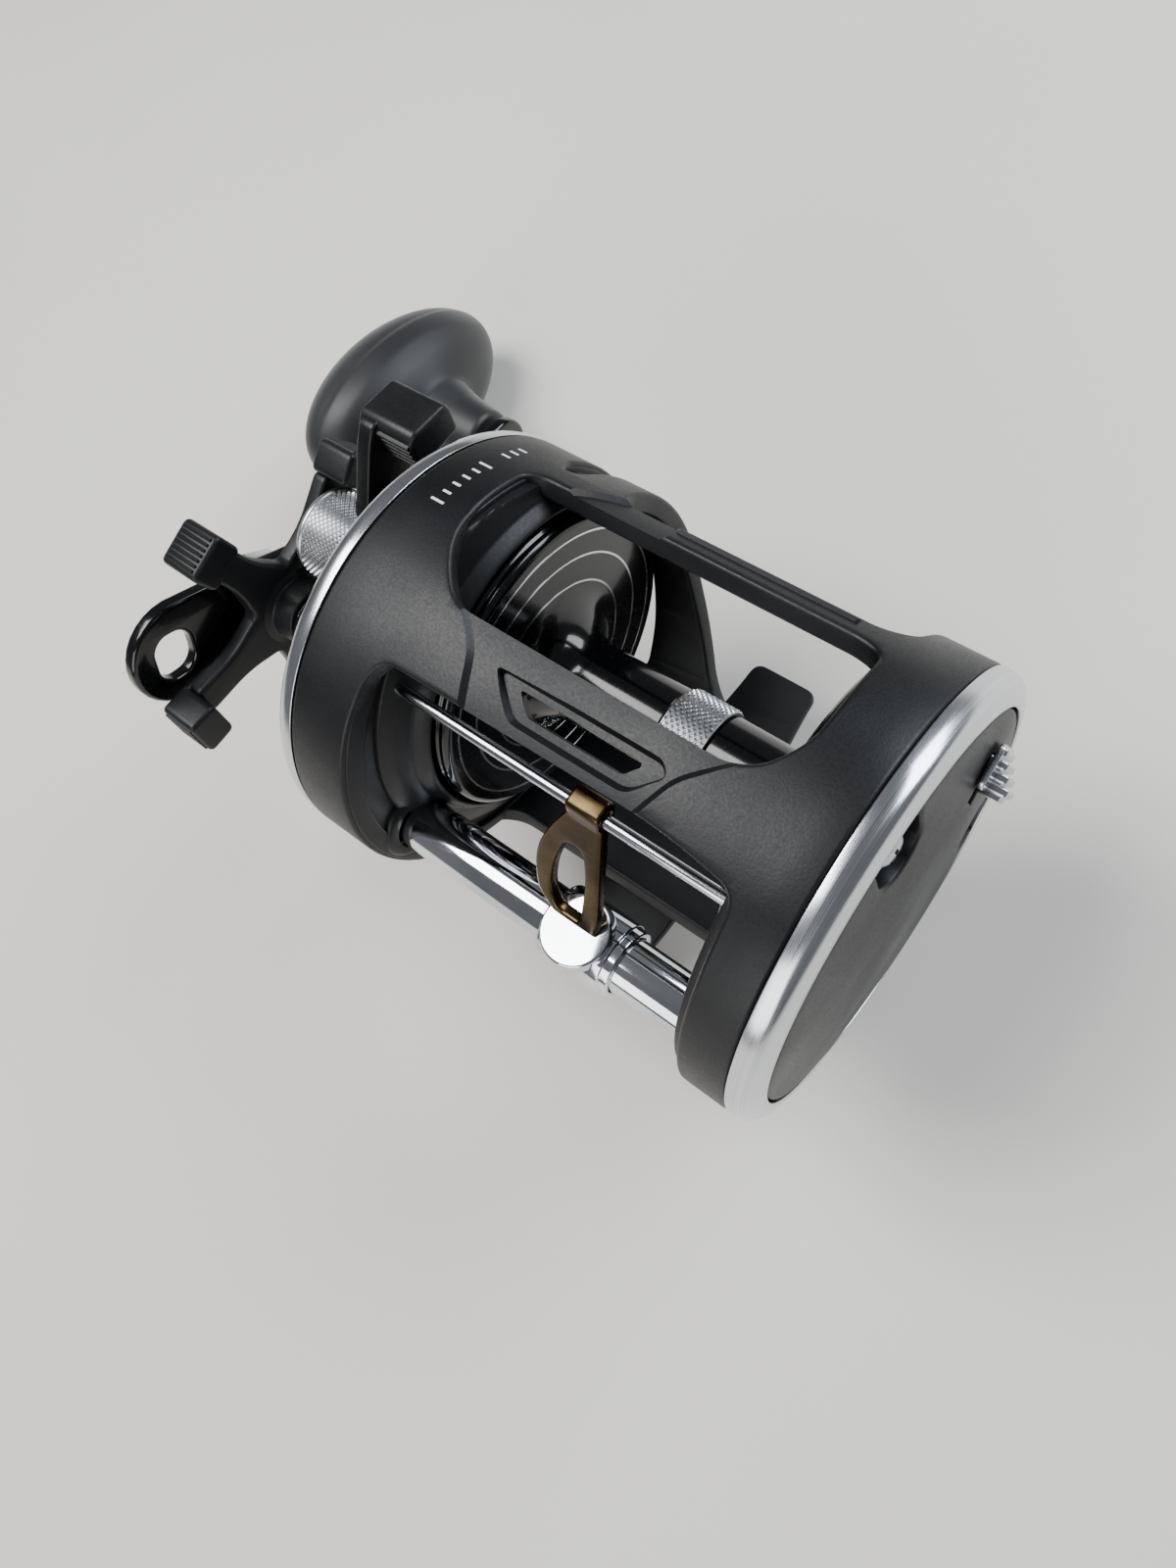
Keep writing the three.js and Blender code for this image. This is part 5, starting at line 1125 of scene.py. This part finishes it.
def build_handle():
    arm = []
    for angle in range(90, 271, 12):
        arm.append((-22 + 10.6 * math.cos(math.radians(angle)),
                    10.6 * math.sin(math.radians(angle)), 0))
    arm += [(-8, -9.2, 8), (6, -6.6, 10), (22, -5.6, 6), (60, -5.4, 2)]
    for angle in range(-110, 111, 11):
        arm.append((66 + 6.4 * math.cos(math.radians(angle)), 6.4 * math.sin(math.radians(angle)),
                    0))
    arm += [(60, 5.4, 2), (22, 5.6, 6), (6, 6.6, 10), (-8, 9.2, 8)]
    slot = eased([(-27.4, -3, 2), (-25.4, -5, 2), (-21.6, -4.8, 2), (-19.8, -2.6, 2),
                  (-19.8, 2.6, 2), (-21.6, 4.8, 2), (-25.4, 5, 2), (-27.4, 3, 2)], 2)
    holes = [slot, circle((0, 0), 2.5, 24), circle((66, 0), 2.6, 24)]
    bm = flat_plate(eased(arm, 2, 5), holes, -87.8, -84.8, 0.9, 5)
    return laid_flat(bm, HANDLE_TURN, GEAR)


finished("handle_arm_polished", build_handle(), LACQUER, "crank_body", ["handle_arm"],
         35)


def build_nut():
    hexagon = [polar(60 * i + 12, 6.5) for i in range(6)]
    bm = laid_flat(flat_plate(eased(hexagon, 0.5), [circle((0, 0), 2.5, 24)], -92.2, -87.9, 0.5), 0,
                   GEAR)
    return bm


finished("handle_nut_bright", build_nut(), SCREW, "crank_body", ["handle_nut"], 35)


def along_line(pairs, t):
    """The value at t on a run of straight lines through the (t, value) pairs."""
    for (t0, v0), (t1, v1) in zip(pairs, pairs[1:]):
        if t <= t1:
            return v0 + (v1 - v0) * max(0.0, (t - t0) / (t1 - t0))
    return pairs[-1][1]


KNOB_MIDDLE, KNOB_REACH = -117.3, 14
KNOB_WIDE, KNOB_TALL = 27.8, 15.95
KNOB_BLEND = 5


def knob_section(x):
    """The knob's two half widths at x: a round neck that grows into a long egg."""
    neck = along_line([(-131.3, 0.1), (-118, 10), (-112, 12.4), (-108, 11.4), (-104, 9.2),
                       (-98, 7.5), (-92, 6.7), (-89.6, 6.3)], x)
    inside = 1 - ((x - KNOB_MIDDLE) / KNOB_REACH) ** 2
    if inside <= 0:
        return neck, neck
    wide, tall = (half * math.sqrt(inside) for half in (KNOB_WIDE, KNOB_TALL))
    if x < KNOB_MIDDLE:
        return wide, tall
    return tuple((neck ** KNOB_BLEND + half ** KNOB_BLEND) ** (1 / KNOB_BLEND)
                 for half in (wide, tall))


def build_knob():
    bm = bmesh.new()
    steps = 96
    spots = [-131.3 + 14 * (1 - math.cos(math.pi / 2 * i / 20)) for i in range(1, 21)]
    spots += [-117.3 + 27.4 * i / 44 for i in range(1, 45)]
    spots += [-89.7]
    turn = math.radians(-20)
    rings = [[bm.verts.new(place(-131.3, *KNOB))]]
    for x in spots:
        wide, tall = knob_section(x)
        if x > -90.2:
            wide = tall = wide - (x + 90.2) * 1.4
        row = []
        for i in range(steps):
            a = wide * math.cos(2 * math.pi * i / steps)
            b = tall * math.sin(2 * math.pi * i / steps)
            row.append(bm.verts.new(place(x, KNOB[0] + a * math.cos(turn) - b * math.sin(turn),
                                          KNOB[1] + a * math.sin(turn) + b * math.cos(turn))))
        rings.append(row)
    rings.append([bm.verts.new(place(-89.7, *KNOB))])
    for first, second in zip(rings, rings[1:]):
        for i in range(steps):
            j = (i + 1) % steps
            corners = list(dict.fromkeys([first[i % len(first)], first[j % len(first)],
                                          second[j % len(second)], second[i % len(second)]]))
            bm.faces.new(corners)
    return bm


finished("knob_rubber", build_knob(), RUBBER, "knob_body", ["handle_knob"], 50)

post = bmesh.new()
add_turned(post, eased([(-83.4, 0, 0), (-83.4, 4, 0.5), (-84.7, 4.2, 0.2), (-84.7, 2.5), (-88, 2.5),
                        (-88, 3.6, 0.2), (-89.2, 3.6, 0.2), (-89.2, 2.4), (-100, 2.4),
                        (-100, 0, 0)],
                       0.15, 4, loop=False), KNOB, 48)
finished("knob_post_turned", post, STEEL, "crank_body", ["knob_post"], 30)

# ---- Level wind -------------------------------------------------------------------------------

tube = bmesh.new()
add_turned(tube, eased([(-33, 3.8), (-33, 4.7), (33, 4.7), (33, 3.8)], 0.1, 2), WIND, 96, loop=True)
tube = cut_away(tube, box_bm((-26.5, WIND[0] - 1.7, WIND[1] - 6), (28.4, WIND[0] + 1.7, WIND[1])))
finished("wind_tube_chromed", tube, CHROME, "frame_body", ["level_wind_tube"], 30)


def build_worm():
    """The worm shaft with its two crossed grooves."""
    bm = bmesh.new()
    steps = 64
    lead = 11.0
    start, end = -27.6, 29.5
    rows = int((end - start) / 0.28)
    rings = []
    for k in range(rows + 1):
        x = start + (end - start) * k / rows
        row = []
        for i in range(steps):
            angle = 2 * math.pi * i / steps
            radius = 3.0
            if start + 1.5 < x < end - 1.5:
                for hand in (-1, 1):
                    away = ((x / lead + hand * angle / (2 * math.pi)) % 1.0)
                    away = min(away, 1 - away) * lead
                    radius -= 0.9 * max(0.0, 1 - (away / 0.8) ** 4) if away < 0.8 else 0.0
            row.append(bm.verts.new(place(x, WIND[0] + max(radius, 2.1) * math.cos(angle),
                                          WIND[1] + max(radius, 2.1) * math.sin(angle))))
        rings.append(row)
    for first, second in zip(rings, rings[1:]):
        for i in range(steps):
            j = (i + 1) % steps
            bm.faces.new([first[i], first[j], second[j], second[i]])
    bm.faces.new(rings[0])
    bm.faces.new(rings[-1])
    add_turned(bm, [(-37.8, 0), (-37.8, 1.5), (-33.1, 1.5), (-33.1, 1.9), (-27, 1.9), (-27, 0)],
               WIND, 32)
    add_turned(bm, [(29, 0), (29, 1.9), (32.8, 1.9), (32.8, 0)], WIND, 32)
    return bm


finished("worm_grooved", build_worm(), ROD_STEEL, "worm_body", ["worm_shaft"], 40)

CARRIAGE_X = 8.2


def build_carriage():
    bm = bmesh.new()
    barrel = [(2.2, 4.9), (2.2, 6.3, 0.5), (14.2, 6.3, 0.4), (14.2, 5.9, 0.2), (15.8, 5.9, 0.4),
              (15.8, 4.9)]
    add_turned(bm, eased(barrel, 0.3), WIND, 96, loop=True)
    boss = bmesh.new()
    top = WIND[1] + 8.1
    bottom = WIND[1] - 8.6
    add_turned(boss, eased([(bottom, 0, 0), (bottom, 5.7, 0.3), (top, 5.7, 0.5), (top, 0, 0)], 0.4,
                           4,
                           loop=False), (CARRIAGE_X, WIND[0]), 96, axis="Z")
    core = bmesh.new()
    add_turned(core, [(-6, 0), (-6, 4.9), (20, 4.9), (20, 0)], WIND, 96)
    joined(bm, cut_away(boss, core))
    return bm


finished("carriage_chromed", build_carriage(), CHROME, "carriage_body", ["level_wind_carriage"],
         30)

cap = bmesh.new()
add_turned(cap, eased([(WIND[1] - 10.2, 0, 0), (WIND[1] - 10.2, 4.6, 0.5),
                       (WIND[1] - 8.7, 4.6, 0.2),
                       (WIND[1] - 8.7, 0, 0)], 0.2, 4, loop=False), (CARRIAGE_X, WIND[0]), 48,
                       axis="Z")
cap = cut_away(cap, box_bm((CARRIAGE_X - 5, WIND[0] - 0.5, WIND[1] - 11),
                           (CARRIAGE_X + 5, WIND[0] + 0.5, WIND[1] - 9.5)))
finished("pawl_cap_slotted", cap, CHROME, "carriage_body", ["pawl_cap"], 30)


def build_guide():
    """The line guide: a leaning slotted plate with a head that wraps the guide rod."""
    base = Vector((0, WIND[0] + 1.4, WIND[1] + 8.2))
    head = Vector((0, *ROD))
    rise = head - base
    length = rise.length
    rise.normalize()
    outline = [(3.8, 0, 0.6), (0.6, 3, 3), (-0.3, 8, 4), (-0.1, 12, 4), (1.7, 17.5, 4),
               (4.7, 23, 2),
               (4.8, length + 0.6, 0.8), (10.6, length + 0.6, 1), (11.3, 13, 6), (11.8, 4, 3),
               (11.6, 0, 0.6)]
    hole = [(4.6, 1.2, 1.4), (2.9, 5, 3), (3.1, 11, 4), (4.8, 16.4, 2.4), (7.8, 16.8, 2.4),
            (8.9, 11, 4), (8.8, 1.2, 0.8)]
    bm = flat_plate(eased(outline, 2, 6), [eased(hole, 2, 6)], -1.1, 1.1, 0.7, 4)
    slice_across(bm, 1, [length - 6 + 0.8 * i for i in range(5)])
    normal = Vector((1, 0, 0)).cross(rise)
    for vert in bm.verts:
        x, up, off = vert.co
        vert.co = place(*(Vector((x, 0, 0)) + base + rise * up + normal * off))
    y, z = ROD
    block = [(y - 2.4, z - 2.4, 1.4), (y - 1.2, z + 2.3, 1.2), (y + 2.6, z + 2.1, 1.6),
             (y + 2.6, z - 0.6, 1.6), (y + 0.4, z - 2.6, 1.2)]
    joined(bm, laid_flat(flat_plate(eased(block, 1.2, 5), [circle(ROD, 1.15, 24)], 4.7, 10.6, 0.6)))
    return bm


finished("line_guide_plated", build_guide(), BRONZE, "carriage_body", ["line_guide"], 35)

rod = bmesh.new()
add_turned(rod, eased([(-31.1, 0, 0), (-31.1, 1, 0.2), (33, 1, 0.2), (33, 0, 0)], 0.2, 3,
                      loop=False),
           ROD, 40)
finished("guide_rod_ground", rod, ROD_STEEL, "frame_body", ["guide_rod"], 30)

# ---- Index marks on the shoulder, for the lever's two positions -----------------------------

def build_marks():
    bm = bmesh.new()
    for angle, length in ((43, 1.6), (46, 1.6), (49, 1.6), (56, 2.4), (59.2, 1.5), (62.4, 1.5),
                          (65.6, 1.5), (68.8, 1.5), (72, 2.4)):
        mark = bmesh.new()
        tangent = polar(angle + 90, 0.22)
        inner, outer = polar(angle, RING_R - 0.1), polar(angle, RING_R + 0.02)
        for x in (-35 - length / 2, -35 + length / 2):
            for side in (-1, 1):
                for spot in (inner, outer):
                    mark.verts.new(place(x, spot[0] + side * tangent[0],
                                         spot[1] + side * tangent[1]))
        mark.verts.ensure_lookup_table()
        for face in ((0, 1, 3, 2), (4, 6, 7, 5), (0, 4, 5, 1), (2, 3, 7, 6), (0, 2, 6, 4),
                     (1, 5, 7, 3)):
            mark.faces.new([mark.verts[i] for i in face])
        joined(bm, mark)
    return bm


finished("index_marks", build_marks(), MARKS, "frame_body")

# ---- Stage ------------------------------------------------------------------------------------

def add_stage():
    material, tree, shader, where = new_material("pale studio floor")
    cloud = noise(tree, where, 6.0)
    tree.links.new(colour_mix(tree, cloud, linear("#cfcbc4"), linear("#dcd9d3")),
                   shader.inputs["Base Color"])
    shader.inputs["Roughness"].default_value = 0.6
    floor_z = CAD_BOX[0][2]
    mesh = bpy.data.meshes.new("floor")
    mesh.from_pydata([(-4, -4, floor_z), (4, -4, floor_z), (4, 4, floor_z), (-4, 4, floor_z)], [],
                     [(0, 1, 2, 3)])
    mesh.materials.append(material)
    floor = bpy.data.objects.new("floor", mesh)
    bpy.context.collection.objects.link(floor)


add_stage()
middle = tuple(place(-15, 0, 0))
add_light("key", (-0.35, -0.1, 0.75), middle, (0.45, 0.45), 9)
add_light("window", (0.25, 0.55, 0.45), middle, (0.5, 0.35), 6, (0.86, 0.93, 1))
add_light("fill", (0.1, -0.7, 0.35), middle, (0.5, 0.5), 3)
world = bpy.data.worlds.new("studio")
bpy.context.scene.world = world
world.use_nodes = True
world.node_tree.nodes["Background"].inputs[0].default_value = (0.75, 0.78, 0.82, 1)
world.node_tree.nodes["Background"].inputs[1].default_value = 0.22

for shape in [o for o in bpy.data.objects if o.name.startswith(("stud", "rib"))]:
    bpy.data.objects.remove(shape)
